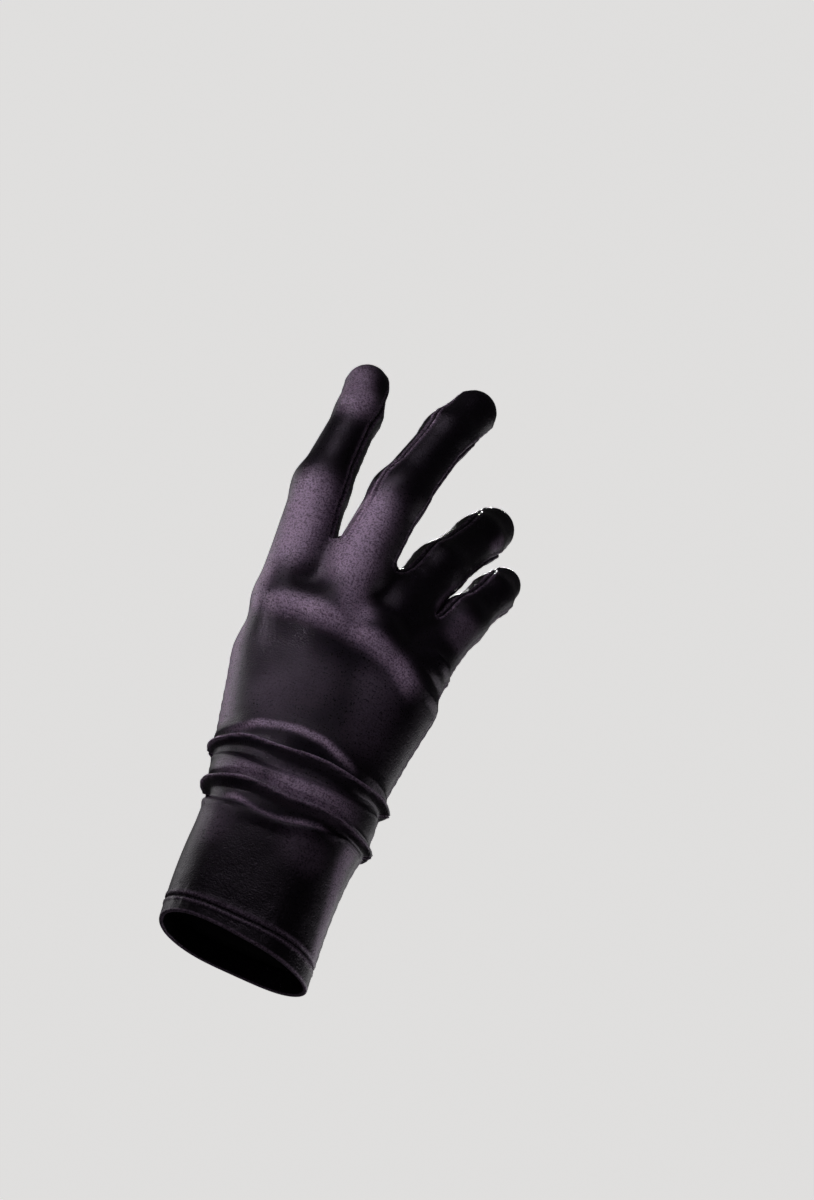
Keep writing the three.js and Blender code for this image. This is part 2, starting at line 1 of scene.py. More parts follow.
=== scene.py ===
"""Wrist length dress glove for a right hand, in dark stretch satin and in its worn form.

The shape classes work in millimetres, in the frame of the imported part: the origin is the middle of
the wrist opening, +Z runs up the forearm into the hand, -Y is the side of the back of the hand and
-X the side of the thumb. Meshes are turned to metres when they are made.
"""

import logging
import math
from dataclasses import dataclass, field
from enum import Enum
from typing import Callable, Sequence

import bmesh
import bpy
import numpy as np
from mathutils import Matrix, Vector, kdtree

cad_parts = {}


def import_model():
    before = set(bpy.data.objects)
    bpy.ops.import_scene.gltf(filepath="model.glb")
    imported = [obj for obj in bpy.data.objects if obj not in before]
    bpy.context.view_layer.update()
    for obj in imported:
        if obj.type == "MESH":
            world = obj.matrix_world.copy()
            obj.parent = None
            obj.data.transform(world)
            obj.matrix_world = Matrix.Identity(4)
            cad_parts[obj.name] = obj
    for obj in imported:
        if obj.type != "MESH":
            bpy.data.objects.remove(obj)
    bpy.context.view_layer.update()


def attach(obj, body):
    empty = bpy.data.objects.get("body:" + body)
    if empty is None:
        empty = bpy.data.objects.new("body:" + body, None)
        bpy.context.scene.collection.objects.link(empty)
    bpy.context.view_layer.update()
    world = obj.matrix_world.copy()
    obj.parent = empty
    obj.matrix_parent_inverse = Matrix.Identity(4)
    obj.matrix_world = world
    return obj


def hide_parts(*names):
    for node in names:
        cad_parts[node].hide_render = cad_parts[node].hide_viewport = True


LOG = logging.getLogger("glove")
MM = 0.001
FINGERS = 4
LAID_STEP = 2                  # from one strip's flat grid to the next, before they are moved onto the glove
JOINED_WITHIN = 0.02           # mm between places of two strips that become one
BROAD = 0.4                    # mm; a wide step for directions, which evens them where forms meet
Array = np.ndarray
Form = Callable[[Array], Array]


# Small helpers for places and directions

def unit(vectors: Array) -> Array:
    """Returns the vectors at length 1."""
    return vectors / np.maximum(np.linalg.norm(vectors, axis=-1, keepdims=True), 1e-9)


def mix(start: Array, end: Array, share: Array) -> Array:
    """Returns the places a share of the way from start to end, with one share for each place."""
    weight = np.asarray(share)[..., None]
    return start * (1 - weight) + end * weight


def smooth_step(value: Array, low: float, high: float) -> Array:
    """Returns 0 below low, 1 above high and an even S curve between them."""
    share = np.clip((value - low) / (high - low), 0, 1)
    return share * share * (3 - 2 * share)


def round_aim(angle: Array) -> Array:
    """Returns level directions round the hand: 0 degrees is the back, 90 the little finger's side."""
    turn = np.radians(angle)
    return np.stack([np.sin(turn), -np.cos(turn), np.zeros_like(turn)], -1)


def run_lengths(line: Array) -> Array:
    """Returns how far along a line of places each of them lies."""
    return np.concatenate([[0.0], np.cumsum(np.linalg.norm(np.diff(line, axis=0), axis=1))])


def along_line(at: Array, stops: Array, places: Array) -> Array:
    """Returns the places at some stops of a line of places."""
    return np.stack([np.interp(at, stops, places[:, axis]) for axis in range(3)], -1)


def hermite(start: Array, leaving: Array, end: Array, arriving: Array, share: Array) -> Array:
    """Returns places on the smooth curve between two ends, which has a slope at each."""
    square, cube = share**2, share**3
    return (start * (2 * cube - 3 * square + 1) + leaving * (cube - 2 * square + share)
            + end * (3 * square - 2 * cube) + arriving * (cube - square))


# The hand's form

@dataclass(frozen=True)
class Bone:
    """One bone of a finger.

    share is its part of the finger's length, lean and bend are degrees towards the little finger
    and the palm, and girth is the radius at its far end as a share of the finger radius.
    """

    share: float
    lean: float
    bend: float
    girth: float


@dataclass(frozen=True)
class FingerPlan:
    """One finger: its knuckle's place and girth, its roll and fan, its webs and its bones."""

    name: str
    length: float
    across: float
    out: float
    up: float
    girth: float
    roll: float
    fan: float
    web_in: float
    web_out: float
    bones: tuple[Bone, ...]


@dataclass(frozen=True)
class Pad:
    """A rounding of the hand between two places, each across, out, up and girth."""

    start: tuple[float, float, float, float]
    end: tuple[float, float, float, float]


class Side(Enum):
    """The two main panels."""

    BACK = -1
    PALM = 1


class RoundBone:
    """A tapered rod with round ends, as a distance."""

    def __init__(self, start: Array, end: Array, start_radius: float, end_radius: float) -> None:
        """Keeps the rod's line and its two radii.

        Args:
            start: middle of its first end.
            end: middle of its far end.
            start_radius: radius at the first end.
            end_radius: radius at the far end.
        """
        self.start = start
        self.span = end - start
        self.reach = float(self.span @ self.span)
        self.start_radius = start_radius
        self.growth = end_radius - start_radius

    def distance(self, points: Array) -> Array:
        """Returns how far each point lies outside the rod, below zero inside it."""
        rel = points - self.start
        along = np.clip(rel @ self.span / self.reach, 0, 1)
        away = np.linalg.norm(rel - along[..., None] * self.span, axis=-1)
        return away - self.start_radius - self.growth * along


def soft_min(first: Array, second: Array, blend: float) -> Array:
    """Returns the lesser of two distances, run softly into each other over the blend."""
    near = np.maximum(blend - np.abs(first - second), 0) / blend
    return np.minimum(first, second) - near * near * blend / 4


def bones_distance(points: Array, bones: Sequence[RoundBone], blend: float) -> Array:
    """Returns the distance to several rods run softly together."""
    least = bones[0].distance(points)
    for bone in bones[1:]:
        least = soft_min(least, bone.distance(points), blend)
    return least


def bone_direction(bone: Bone) -> Array:
    """Returns the direction in which a bone leans and bends."""
    lean, bend = math.radians(bone.lean), math.radians(bone.bend)
    return np.array([math.sin(lean) * math.cos(bend), math.sin(bend), math.cos(lean) * math.cos(bend)])


def bone_joints(root: Array, bones: Sequence[Bone], length: float) -> Array:
    """Returns the joints from a root out along its bones."""
    joints = [root]
    for bone in bones:
        joints.append(joints[-1] + bone_direction(bone) * bone.share * length)
    return np.array(joints)


def rod_chain(joints: Array, radii: Sequence[float]) -> list[RoundBone]:
    """Returns the rods from joint to joint."""
    return [RoundBone(*ends) for ends in zip(joints, joints[1:], radii, radii[1:])]


def skin_normals(form: Form, points: Array, step: float = 0.05) -> Array:
    """Returns the outward directions of a form at some points."""
    slopes = [form(points + axis * step) - form(points - axis * step) for axis in np.eye(3)]
    return unit(np.stack(slopes, -1))


def cast(form: Form, starts: Array, aims: Array, steps: int = 30) -> Array:
    """Walks from inside a form along the aims to its skin.

    Args:
        form: the distance to walk by.
        starts: places inside the form.
        aims: unit directions, one for each start.
        steps: most steps of the walk.

    Returns:
        The places on the skin.
    """
    points = starts.copy()
    for _ in range(steps):
        gap = form(points)
        points -= aims * gap[..., None]
        if np.abs(gap).max() < 2e-3:
            break
    return points


@dataclass
class HandForm:
    """The form that the cloth is stretched over, from the cuff to the fingertips."""

    cuff_width: float = 55.5
    cuff_depth: float = 38.0
    cuff_length: float = 54.0
    palm_length: float = 72.0
    knuckle_span: float = 46.0
    wrist_radius: float = 16.0
    finger_radius: float = 9.8
    thumb_radius: float = 10.5
    thumb_length: float = 57.0
    palm_blend: float = 9.0
    finger_blend: float = 4.0
    seam_gap: float = 0.3
    web_girth: float = 0.72
    web_rise: float = 1.25
    web_reach: float = 1.45
    plans: tuple[FingerPlan, ...] = (
        FingerPlan("index", 93, -0.604, -0.154, 1, 1.2, 0, -62, 0.39, 0.39,
                   (Bone(0.486, -5, -4, 1), Bone(0.371, 1.5, 8, 0.8), Bone(0.143, -7, 11, 0.8))),
        FingerPlan("middle", 103, -0.242, -0.173, 0.999, 1.2, 26, -21, 0.347, 0.366,
                   (Bone(0.496, 7, -2, 1), Bone(0.335, 10.5, 14.5, 0.87), Bone(0.169, 15.5, 25, 0.84))),
        FingerPlan("ring", 90, 0.102, -0.084, 0.975, 1.15, 35, 21, 0.51, 0.36,
                   (Bone(0.487, 12.5, 21, 0.93), Bone(0.34, 13.5, 35.5, 0.86), Bone(0.173, 5.5, 47, 0.84))),
        FingerPlan("little", 71, 0.415, 0.087, 0.892, 1.18, 38, 62, 0.42, 0.3,
                   (Bone(0.495, 14, 22, 0.84), Bone(0.313, 14.5, 30.5, 0.72), Bone(0.192, 2.5, 46.5, 0.66))),
    )
    thumb_root: tuple[float, float, float, float] = (-0.26, 0.09, 0.14, 1.4)
    thumb_knuckle: tuple[float, float, float, float] = (-0.58, 0.41, 0.62, 1.08)
    thumb_plan: tuple[Bone, ...] = (Bone(0.54, 30, 38, 0.98), Bone(0.46, 31, 40, 0.84))
    pads: tuple[Pad, ...] = (
        Pad((-0.435, 0.13, 0.22, 1.33), (-0.65, 0.06, 0.75, 1.17)),
        Pad((0.2, 0.06, 0.1, 1.35), (0.42, 0.15, 0.72, 1.2)),
        Pad((-0.5, 0.04, 0.86, 1.1), (0.36, 0.16, 0.78, 1.05)),
    )

    def __post_init__(self) -> None:
        """Works out the joints, rods and rails from the sizes."""
        spread = (self.cuff_width - self.cuff_depth) / 2
        self.joints: list[Array] = []
        self.rails: list[Array] = []
        self.radii: list[list[float]] = []
        self.chains: list[list[RoundBone]] = []
        for place, plan in enumerate(self.plans):
            joints = bone_joints(self.place(plan.across, plan.out, plan.up), plan.bones, plan.length)
            radii = [girth * self.finger_radius for girth in (plan.girth, *(b.girth for b in plan.bones))]
            rail_x = spread * (2 * place / (len(self.plans) - 1) - 1)
            wrist = np.array([rail_x, 0, self.cuff_length])
            self.joints.append(joints)
            self.radii.append(radii)
            self.rails.append(np.array([[rail_x, 0, 0], wrist, joints[0], joints[1]]))
            self.chains.append(rod_chain(joints, radii))
        self.web_height = float(self.parting(1, 0.0)[2])
        self.web_radius = self.web_girth * self.finger_radius
        self._make_palm(spread)
        self._make_thumb()

    def place(self, across: float, out: float, up: float) -> Array:
        """Returns a place of the hand given in shares of the knuckle span and the palm length."""
        return np.array([across * self.knuckle_span, out * self.knuckle_span,
                         self.cuff_length + up * self.palm_length])

    def _make_palm(self, spread: float) -> None:
        """Makes the rods of the forearm, hand, pads and webs."""
        half, top = self.cuff_depth / 2, self.cuff_length
        rods = [RoundBone(np.array([x, 0, -top]), np.array([x, 0, top]), half, half)
                for x in (-spread, spread)]
        rods += [RoundBone(rail[1], rail[2], self.wrist_radius, radii[0])
                 for rail, radii in zip(self.rails, self.radii)]
        root = self.place(*self.thumb_root[:3])
        knuckle = self.place(*self.thumb_knuckle[:3])
        self.thumb_mound = RoundBone(root, knuckle, self.thumb_root[3] * self.thumb_radius,
                                     self.thumb_knuckle[3] * self.thumb_radius)
        rods.append(self.thumb_mound)
        rods += [RoundBone(self.place(*pad.start[:3]), self.place(*pad.end[:3]),
                           pad.start[3] * self.finger_radius, pad.end[3] * self.finger_radius)
                 for pad in self.pads]
        rods += [RoundBone(self.parting(i, 1.0), self.parting(i + 1, -1.0), self.web_radius, self.web_radius)
                 for i in range(FINGERS - 1)]
        self.palm_rods = rods

    def _make_thumb(self) -> None:
        """Makes the rods of the thumb."""
        knuckle = self.place(*self.thumb_knuckle[:3])
        self.thumb_joints = bone_joints(knuckle, self.thumb_plan, self.thumb_length)
        girths = (self.thumb_knuckle[3], *(bone.girth for bone in self.thumb_plan))
        self.thumb_rods = rod_chain(self.thumb_joints, [girth * self.thumb_radius for girth in girths])

    def parting(self, finger: int, side: Array | float) -> Array:
        """Returns where a finger leaves the palm, for sides from -1 (thumb) to 1."""
        plan, joints = self.plans[finger], self.joints[finger]
        share = plan.web_in + (plan.web_out - plan.web_in) * (np.asarray(side, float) + 1) / 2
        return mix(joints[0], joints[1], share)

    def _with(self, points: Array, chains: Sequence[Sequence[RoundBone]]) -> Array:
        """Returns the distance to the palm with some fingers on it."""
        least = bones_distance(points, self.palm_rods, self.palm_blend)
        for rods in chains:
            least = soft_min(least, bones_distance(points, rods, self.finger_blend), self.finger_blend)
        return least

    def whole(self, points: Array) -> Array:
        """Returns the distance to the whole hand, without its thumb."""
        return self._with(points, self.chains)

    def finger(self, index: int) -> Form:
        """Returns the distance to the palm with one finger, pressed flat where a neighbour touches it."""
        neighbours = [self.chains[i] for i in (index - 1, index + 1) if 0 <= i < len(self.chains)]

        def distance(points: Array) -> Array:
            """Returns the distance to the palm and this finger."""
            own = bones_distance(points, self.chains[index], self.finger_blend)
            form = soft_min(bones_distance(points, self.palm_rods, self.palm_blend), own, self.finger_blend)
            for rods in neighbours:
                other = bones_distance(points, rods, self.finger_blend)
                form = np.maximum(form, (own - other + self.seam_gap) / 2)
            return form

        return distance

    def palm(self, points: Array) -> Array:
        """Returns the distance to the palm alone."""
        return self._with(points, [])

    def thumb(self, points: Array) -> Array:
        """Returns the distance to the thumb and its mound."""
        return bones_distance(points, [self.thumb_mound, *self.thumb_rods], self.finger_blend)

    def thumb_on_palm(self, points: Array) -> Array:
        """Returns the distance to the palm with the thumb."""
        return self._with(points, [self.thumb_rods])

    def along_finger(self, finger: int, distance: Array) -> Array:
        """Returns places on a finger's middle line at distances from its knuckle."""
        joints = self.joints[finger]
        lengths = np.linalg.norm(np.diff(joints, axis=0), axis=1)
        stops = np.concatenate([[-lengths[0], 0], np.cumsum(lengths)])
        places = np.vstack([2 * joints[0] - joints[1], joints])
        at = np.minimum(distance, self.plans[finger].length)
        return along_line(at, stops, places)


# Cloth laid on the form

def from_path(points: Array, path: Sequence) -> tuple[Array, Array]:
    """Returns each point's distance to a path of places, and how far along the path it lies, from 0 to 1."""
    path = np.array(path, float)
    steps = np.linalg.norm(np.diff(path, axis=0), axis=1)
    total, passed = steps.sum(), 0.0
    best = np.full(points.shape[:-1], np.inf)
    where = np.zeros(points.shape[:-1])
    for start, end, length in zip(path[:-1], path[1:], steps):
        rel = points - start
        share = np.clip(rel @ (end - start) / length**2, 0, 1)
        away = np.linalg.norm(rel - share[..., None] * (end - start), axis=-1)
        nearer = away < best
        best = np.where(nearer, away, best)
        where = np.where(nearer, (passed + share * length) / total, where)
        passed += length
    return best, where


@dataclass(frozen=True)
class Crease:
    """A pulled line in the cloth, a ridge where its height is positive and a furrow where negative.

    Its path is a few places on the skin, its width reaches to where it dies out on each side.
    """

    path: tuple[tuple[float, float, float], ...]
    height: float
    width: float
    fading: float = 0.3        # share of its length over which each end dies out

    def lift(self, points: Array) -> Array:
        """Returns how far the crease lifts the cloth at each point."""
        away, where = from_path(points, self.path)
        rounding = np.exp(-4.5 * (away / self.width)**2)
        ends = smooth_step(where, 0, self.fading) * (1 - smooth_step(where, 1 - self.fading, 1))
        return self.height * rounding * ends


@dataclass(frozen=True)
class PaintedHighlight:
    """A painted highlight: a pale patch put in the satin's colour where the lamps light it.

    Its path is a few places on the skin, its reach is how far from there it fades to half, and its
    fading is the part of its length over which each end dies out.
    """

    path: Sequence
    reach: float
    share: float
    fading: float = 0.0

    def paleness(self, points: Array) -> Array:
        """Returns how strong the painted highlight is at each point, from 0 to 1."""
        away, where = from_path(points, self.path)
        pale = self.share * np.exp(-0.7 * (away / self.reach)**3)
        if self.fading:
            pale = pale * smooth_step(where, 0, self.fading) * (1 - smooth_step(where, 1 - self.fading, 1))
        return pale


@dataclass(frozen=True)
class Fold:
    """A fold right across the wrist.

    at is its crest's place from the hem (0) to the web (1), heights are in millimetres at the
    middle of the back, at the thumb side, at the little side and at the middle of the palm, sag is
    how far the crest drops below its ends, and tilt how far it falls towards the little finger. Its
    valleys are fullest at full, from -1 at the thumb side to 1, and pinched to a share at reach from there.
    """

    at: float
    back: float
    thumb_side: float
    little_side: float
    palm: float
    sag: float
    tilt: float
    full: float
    reach: float
    pinch: float
    section: tuple[tuple[float, float], ...]
    crest_half: float = 0.9    # mm that the crest itself keeps on each side
    wander: float = 0.45       # mm that the crest strays from its line

    def shape(self, away: Array, around: Array) -> Array:
        """Returns the share of the fold's height at places so many millimetres above its crest."""
        lens = np.clip(1 - ((around - self.full) / self.reach)**2, 0, 1)
        opened = self.pinch + (1 - self.pinch) * lens
        beyond = np.maximum(np.abs(away) - self.crest_half, 0)
        place = np.sign(away) * (np.minimum(np.abs(away), self.crest_half) + beyond / opened)
        stops, shares = zip(*self.section)
        share = np.interp(place, stops, shares)
        return np.where(share < 0, share * opened, share)


@dataclass
class ClothGrid:
    """Places on the cloth in rows and columns, each with its outward direction and its place in the cloth."""

    points: Array
    normals: Array
    uv: Array

    def facing_out(self) -> "ClothGrid":
        """Returns the grid with its columns turned round where its faces would look inwards."""
        ahead = np.diff(self.points, axis=0)[:, :-1]
        beside = np.diff(self.points, axis=1)[:-1]
        facing = (np.cross(beside, ahead) * self.normals[:-1, :-1]).sum()
        if facing >= 0:
            return self
        return ClothGrid(self.points[:, ::-1], self.normals[:, ::-1], self.uv[:, ::-1])


@dataclass
class GloveCut:
    """How the glove is cut: where its seams, folds and rows lie on the form."""

    hand: HandForm
    hem_height: float = 8.0
    hem_lean: float = 3.0
    cuff_bow: float = 1.5
    web_tilt: float = 50.0
    web_tilt_start: float = 0.86
    rows_level_to: float = 0.6
    fourchette_seam: float = 60.0
    index_side_seam: float = 112.0
    little_side_seam: float = 65.0
    tip_seam: float = 90.0
    tip_seam_start: float = 0.72
    folds: tuple[Fold, ...] = (
        Fold(0.479, 3.2, 2.4, 3.4, 1.5, 0.5, 1.4, -0.05, 1.0, 0.3,
             ((-11.5, 0.0), (-9, 0.06), (-6.3, -0.52), (-3.2, -0.28), (-1.2, 0.3), (-0.5, 0.86), (0, 1.0),
              (0.5, 0.8), (1.5, -0.6), (3, -0.46), (6, 0.1), (7.3, 0.22), (9.5, 0.14), (14, 0.0))),
        Fold(0.373, 3.1, 3.4, 2.7, 1.5, 1.2, 2.2, -0.3, 0.95, 0.22,
             ((-13.5, 0.0), (-10.5, 0.2), (-9.2, 0.16), (-7.4, -0.56), (-3.4, -0.3), (-1.2, 0.3),
              (-0.5, 0.86), (0, 1.0), (0.5, 0.8), (1.5, -0.5), (2.6, -0.4), (4.4, 0.1), (7, 0.12), (10, 0.0))),
    )
    creases: tuple[Crease, ...] = (
        Crease(((-39, -9, 119), (-33.9, -16.9, 120.5), (-19.9, -19.1, 122), (-5.1, -19, 121),
                (8.2, -15.2, 118.9), (16.8, -10.4, 115.4), (24, -8, 110), (30, -1.5, 104)), 2.3, 11.0),
        Crease(((-36, -12, 105), (-18, -18, 107), (2, -16.8, 106), (18, -11, 101)), -2.2, 18.0),
        Crease(((-30, -18, 130), (-20, -18, 134), (-11, -18, 133)), -1.3, 9.0),
        Crease(((-2, -16, 133), (5, -12, 136), (12, -9, 133), (20, -5, 125)), -1.5, 10.0),
        Crease(((22, -6, 126.5), (31, 0.7, 124), (30, 14, 120)), 2.0, 3.4),
        Crease(((22, -9, 118.5), (31.6, -0.4, 116), (30, 13, 113)), -1.5, 3.4),
        Crease(((22, -10, 112), (31.4, -0.7, 110), (31, 12, 107)), 1.6, 3.2),
        Crease(((-37, -11, 200), (-30, -14.5, 202.4), (-23, -10, 204)), -0.8, 4.0),
        Crease(((-38, -10, 206), (-31, -14, 207.4), (-24, -10, 208.5)), 0.9, 5.5),
        Crease(((-36.5, -11.6, 208), (-34.6, -12.8, 210.8), (-31.6, -13, 211.6)), -1.0, 3.2),
        Crease(((-32.6, -12.5, 206.8), (-29.6, -13.6, 207.1), (-26.6, -12, 207.8)), -0.9, 3.0),
    )
    # Painted highlights: pale patches put in the satin's colour where the lamps light it, on the back, the
    # fingers, the folds, the cuff and the palm.
    painted_highlight: tuple[PaintedHighlight, ...] = (
        PaintedHighlight(((-31.8, -19.3, 162), (-31.4, -19.3, 154), (-32.6, -19, 145)), 8.4, 0.95),
        PaintedHighlight(((-37.5, -15, 142), (-38, -15, 120)), 4.6, 0.75),
        PaintedHighlight(((-10.4, -18.8, 163), (-10.2, -19.4, 150), (-8.6, -19.6, 144)), 8.4, 0.95),
        PaintedHighlight(((-6.5, -19.4, 142), (-1.5, -18.2, 126)), 5.2, 0.85),
        PaintedHighlight(((-37, -15, 119.5), (-20, -20.8, 121), (-4.4, -20.6, 119.6), (7.8, -17.2, 118),
                   (16.8, -12.4, 115), (22.5, -10.4, 110.6), (28, -6, 104)), 3.6, 0.85, 0.16),
        PaintedHighlight(((-41, -3, 123), (-39.9, -5, 111), (-37.1, -3.9, 94), (-33, -4.8, 74)), 6.0, 0.65, 0.1),
        PaintedHighlight(((-30.5, -5, 62), (-18.2, -17.9, 58.8), (-6.2, -21.1, 57.6)), 2.4, 0.55, 0.2),
        PaintedHighlight(((-14, -19.4, 58.2), (4.9, -21.3, 57), (17.4, -18.5, 55.7), (27, -9, 55)), 4.2, 0.8, 0.3),
        PaintedHighlight(((-37, -10, 217), (-34.5, -12.5, 209.5), (-30.5, -14, 207)), 6.4, 0.85),
        PaintedHighlight(((22.6, 10.5, 161), (20, 1.6, 143)), 1.5, 0.8, 0.3),
        PaintedHighlight(((26.6, 22, 181), (28.4, 29, 192)), 2.0, 0.5, 0.3),
        PaintedHighlight(((32, 10, 151), (30.6, 3.2, 131)), 5.0, 0.34, 0.3),
        PaintedHighlight(((26, -8, 49), (25.4, -7.2, 38), (26, -3.6, 24), (26.4, -1.8, 2)), 3.4, 0.95, 0.12),
        PaintedHighlight(((10, -18.6, 38), (15.5, -17.2, 36)), 5.5, 0.2),
        PaintedHighlight(((-18, -18.8, 88), (-6, -18.8, 97)), 10.0, 0.08),
        PaintedHighlight(((14, -12, 104), (17, -12.6, 86)), 8.0, 0.1),
        PaintedHighlight(((-33, -4.8, 73), (-18.4, -17.7, 76.2), (-4.2, -19.3, 77.6), (5.5, -18.3, 76.6),
                   (16, -16, 72), (24, -13, 67)), 1.3, 0.85, 0.3),
        PaintedHighlight(((-26, -10, 48), (-16.6, -17.1, 48.4), (-7, -19.2, 45.0), (0.2, -18.8, 44.4),
                   (7, -18.9, 45.6), (14.6, -17.7, 46.6), (24, -12, 44.2)), 1.1, 0.8, 0.3),
        PaintedHighlight(((-25, -11, 44), (-20, -15.5, 36)), 6.0, 0.26),
        PaintedHighlight(((-31.2, 1.6, 163), (-31.2, 1.9, 150)), 7.0, 0.5),
        PaintedHighlight(((-9.4, 0.4, 167), (-10.5, 1.7, 152)), 7.0, 0.5),
        PaintedHighlight(((13.7, 25.3, 167), (7.7, 16, 150)), 6.5, 0.45),
        PaintedHighlight(((24.6, 27.7, 155), (22.2, 22.1, 140)), 6.0, 0.4),
        PaintedHighlight(((-21.9, 6.2, 127), (0.2, 8.6, 129), (15.7, 17.2, 125)), 5.0, 0.5, 0.25),
        PaintedHighlight(((22, 18, 106), (20, 18.4, 90), (22, 15, 76)), 7.0, 0.45, 0.25),
        PaintedHighlight(((-34.1, 1.9, 203), (-33, 1.9, 196)), 5.0, 0.4),
        PaintedHighlight(((12, 18, 34), (2, 19.4, 24)), 8.0, 0.2),
    )
    crest_waves: float = 9.0
    crest_phase: float = 20.0
    # The painted highlight along each fold's crest: its reach, its strength and how its ends fade.
    crest_reach: float = 0.75
    crest_share: float = 0.7
    crest_fading: float = 0.08
    # Strength of the painted highlight along each seam's lip.
    lip_highlight: float = 0.55

    @property
    def body_start(self) -> float:
        """Where the panels begin above the hem, as a share of the way to the web."""
        return self.hem_height / self.hand.web_height

    def rail(self, finger: int, at: Array, side: float) -> Array:
        """Returns places on a finger's line through the hand, level at first and then to its web."""
        hand = self.hand
        rise = hand.parting(finger, side)[..., 2] - hand.web_height
        height = at * hand.web_height + rise * smooth_step(at, self.rows_level_to, 1)
        rail = hand.rails[finger]
        return along_line(height, rail[:, 2], rail)

    def strip_angle(self, finger: int, side: Side, at: Array) -> Array:
        """Returns where the middle of a finger's strip looks, in degrees round the hand."""
        hand, plan = self.hand, self.hand.plans[finger]
        low = hand.cuff_length / hand.web_height
        high = (hand.cuff_length + hand.palm_length) / hand.web_height
        settle = smooth_step(at, low, high)
        if side is Side.BACK:
            return plan.fan + (plan.roll - plan.fan) * settle
        return 180 - plan.fan + (plan.roll + plan.fan) * settle

    def side_seam(self, finger: int, side: Side) -> float:
        """Returns where a side seam looks, in degrees round the hand."""
        roll = self.hand.plans[finger].roll
        if finger > 0:
            return roll + self.little_side_seam
        return roll - self.index_side_seam + (0 if side is Side.BACK else 360)

    def web_aim(self, finger: int, other: int, angle: Array, tilt: Array) -> Array:
        """Returns level directions tilted up towards the way two fingers leave the palm."""
        square = round_aim(angle)
        spans = [unit(self.hand.chains[i][0].span) for i in (finger, other)]
        outward = unit(spans[0] + spans[1])
        turn = np.radians(tilt)[..., None]
        flat = unit(square - (square @ outward)[..., None] * outward * np.sin(turn))
        return unit(flat * np.cos(turn) + outward * np.sin(turn))

    def body_ray(self, finger: int, side: Side, t: Array, at: Array) -> tuple[Array, Array, Array]:
        """Works out where a place on the body of the glove is cast from and to.

        Args:
            finger: whose strip it is.
            side: back or palm.
            t: places across the strip from -1 at its thumb side to 1.
            at: places from the hem (0) to the web (1).

        Returns:
            The starts, the aims and the aims' angles round the hand.
        """
        own = self.strip_angle(finger, side, at)
        start = self.rail(finger, at, 0.0)
        angle = own.copy()
        aim = round_aim(own)
        for sign in (-1, 1):
            pick = t * sign > 0
            if not pick.any():
                continue
            share = np.abs(t[pick])
            other = finger + sign
            edge = self.rail(finger, at[pick], float(sign))
            if 0 <= other < len(self.hand.plans):
                edge_angle = (own[pick] + self.strip_angle(other, side, at[pick])) / 2
                edge = (edge + self.rail(other, at[pick], float(-sign))) / 2
            else:
                edge_angle = np.full(share.shape, self.side_seam(finger, side))
            start[pick] = mix(start[pick], edge, share)
            angle[pick] += (edge_angle - own[pick]) * share
            if 0 <= other < len(self.hand.plans):
                tilt = self.web_tilt * smooth_step(at[pick], self.web_tilt_start, 1) * share
                aim[pick] = self.web_aim(finger, other, angle[pick], tilt)
            else:
                aim[pick] = round_aim(angle[pick])
        start[..., 2] -= self.hem_lean * np.sin(np.radians(angle)) * (1 - at)
        return start, aim, angle

    def crest_height(self, fold: Fold, around: Array) -> Array:
        """Returns how high above the hem a fold's crest runs."""
        level = fold.at * self.hand.web_height - fold.sag * (1 - np.abs(around)**2)
        waver = np.sin(self.crest_waves * around + self.crest_phase * fold.at)
        return level - fold.tilt * around / 2 - fold.wander * waver

    def fold_lift(self, at: Array, around: Array, side: Side, angle: Array) -> Array:
        """Returns how far the folds and the cuff's bow lift the cloth off the form."""
        hand = self.hand
        rise = at * hand.web_height / hand.cuff_length
        lift = np.where(rise < 1, -self.cuff_bow * np.sin(np.pi * rise) * np.sin(np.radians(angle)), 0.0)
        across = np.abs(around)**2
        for fold in self.folds:
            away = at * hand.web_height - self.crest_height(fold, around)
            middle = fold.back if side is Side.BACK else fold.palm
            edge = np.where(around < 0, fold.thumb_side, fold.little_side)
            height = middle + (edge - middle) * across
            lift = lift + height * fold.shape(away, around)
        return lift

    def finger_frame(self, finger: int, side: Array, along: Array) -> tuple[Array, Array, Array, Array]:
        """Works out a finger's own frame at shares of the way from the web to the tip.

        Returns:
            Its middle, its direction, its back and the way across to the little finger's side.
        """
        hand, plan = self.hand, self.hand.plans[finger]
        first = self.finger_start(finger, side)
        distance = first + (plan.length - first) * along
        reach = hand.radii[finger][1]
        centre = hand.along_finger(finger, distance)
        ahead = hand.along_finger(finger, distance + reach)
        axis = unit(ahead - hand.along_finger(finger, distance - reach))
        rolled = round_aim(np.array(plan.roll, float))
        back = unit(rolled - (axis @ rolled)[..., None] * axis)
        return centre, axis, back, np.cross(axis, back)

    def finger_ray(self, finger: int, side: Array, angle: Array, along: Array,
                   cap: Array) -> tuple[Array, Array]:
        """Returns where a place on a finger is cast from, and its direction.

        Args:
            finger: which finger.
            side: -1 at its thumb side to 1, which sets how high the finger begins.
            angle: degrees round the finger from its back.
            along: share of the way from the web to the tip.
            cap: degrees up over the tip.
        """
        centre, axis, back, across = self.finger_frame(finger, side, along)
        turn, rise = np.radians(angle)[..., None], np.radians(cap)[..., None]
        aim = back * np.cos(turn) + across * np.sin(turn)
        return centre, aim * np.cos(rise) + axis * np.sin(rise)

    def seam_angles(self, finger: int, side: Side, along: Array) -> tuple[Array, Array]:
        """Returns the degrees from a strip's middle to its thumbward and outward edges."""
        edges = []
        for end, seam in ((0, self.index_side_seam), (FINGERS - 1, self.little_side_seam)):
            outer = finger == end
            edge = self.led_to_tip(seam if outer else self.fourchette_seam, along)
            edges.append(180 - edge if outer and side is Side.PALM else edge)
        return edges[0], edges[1]

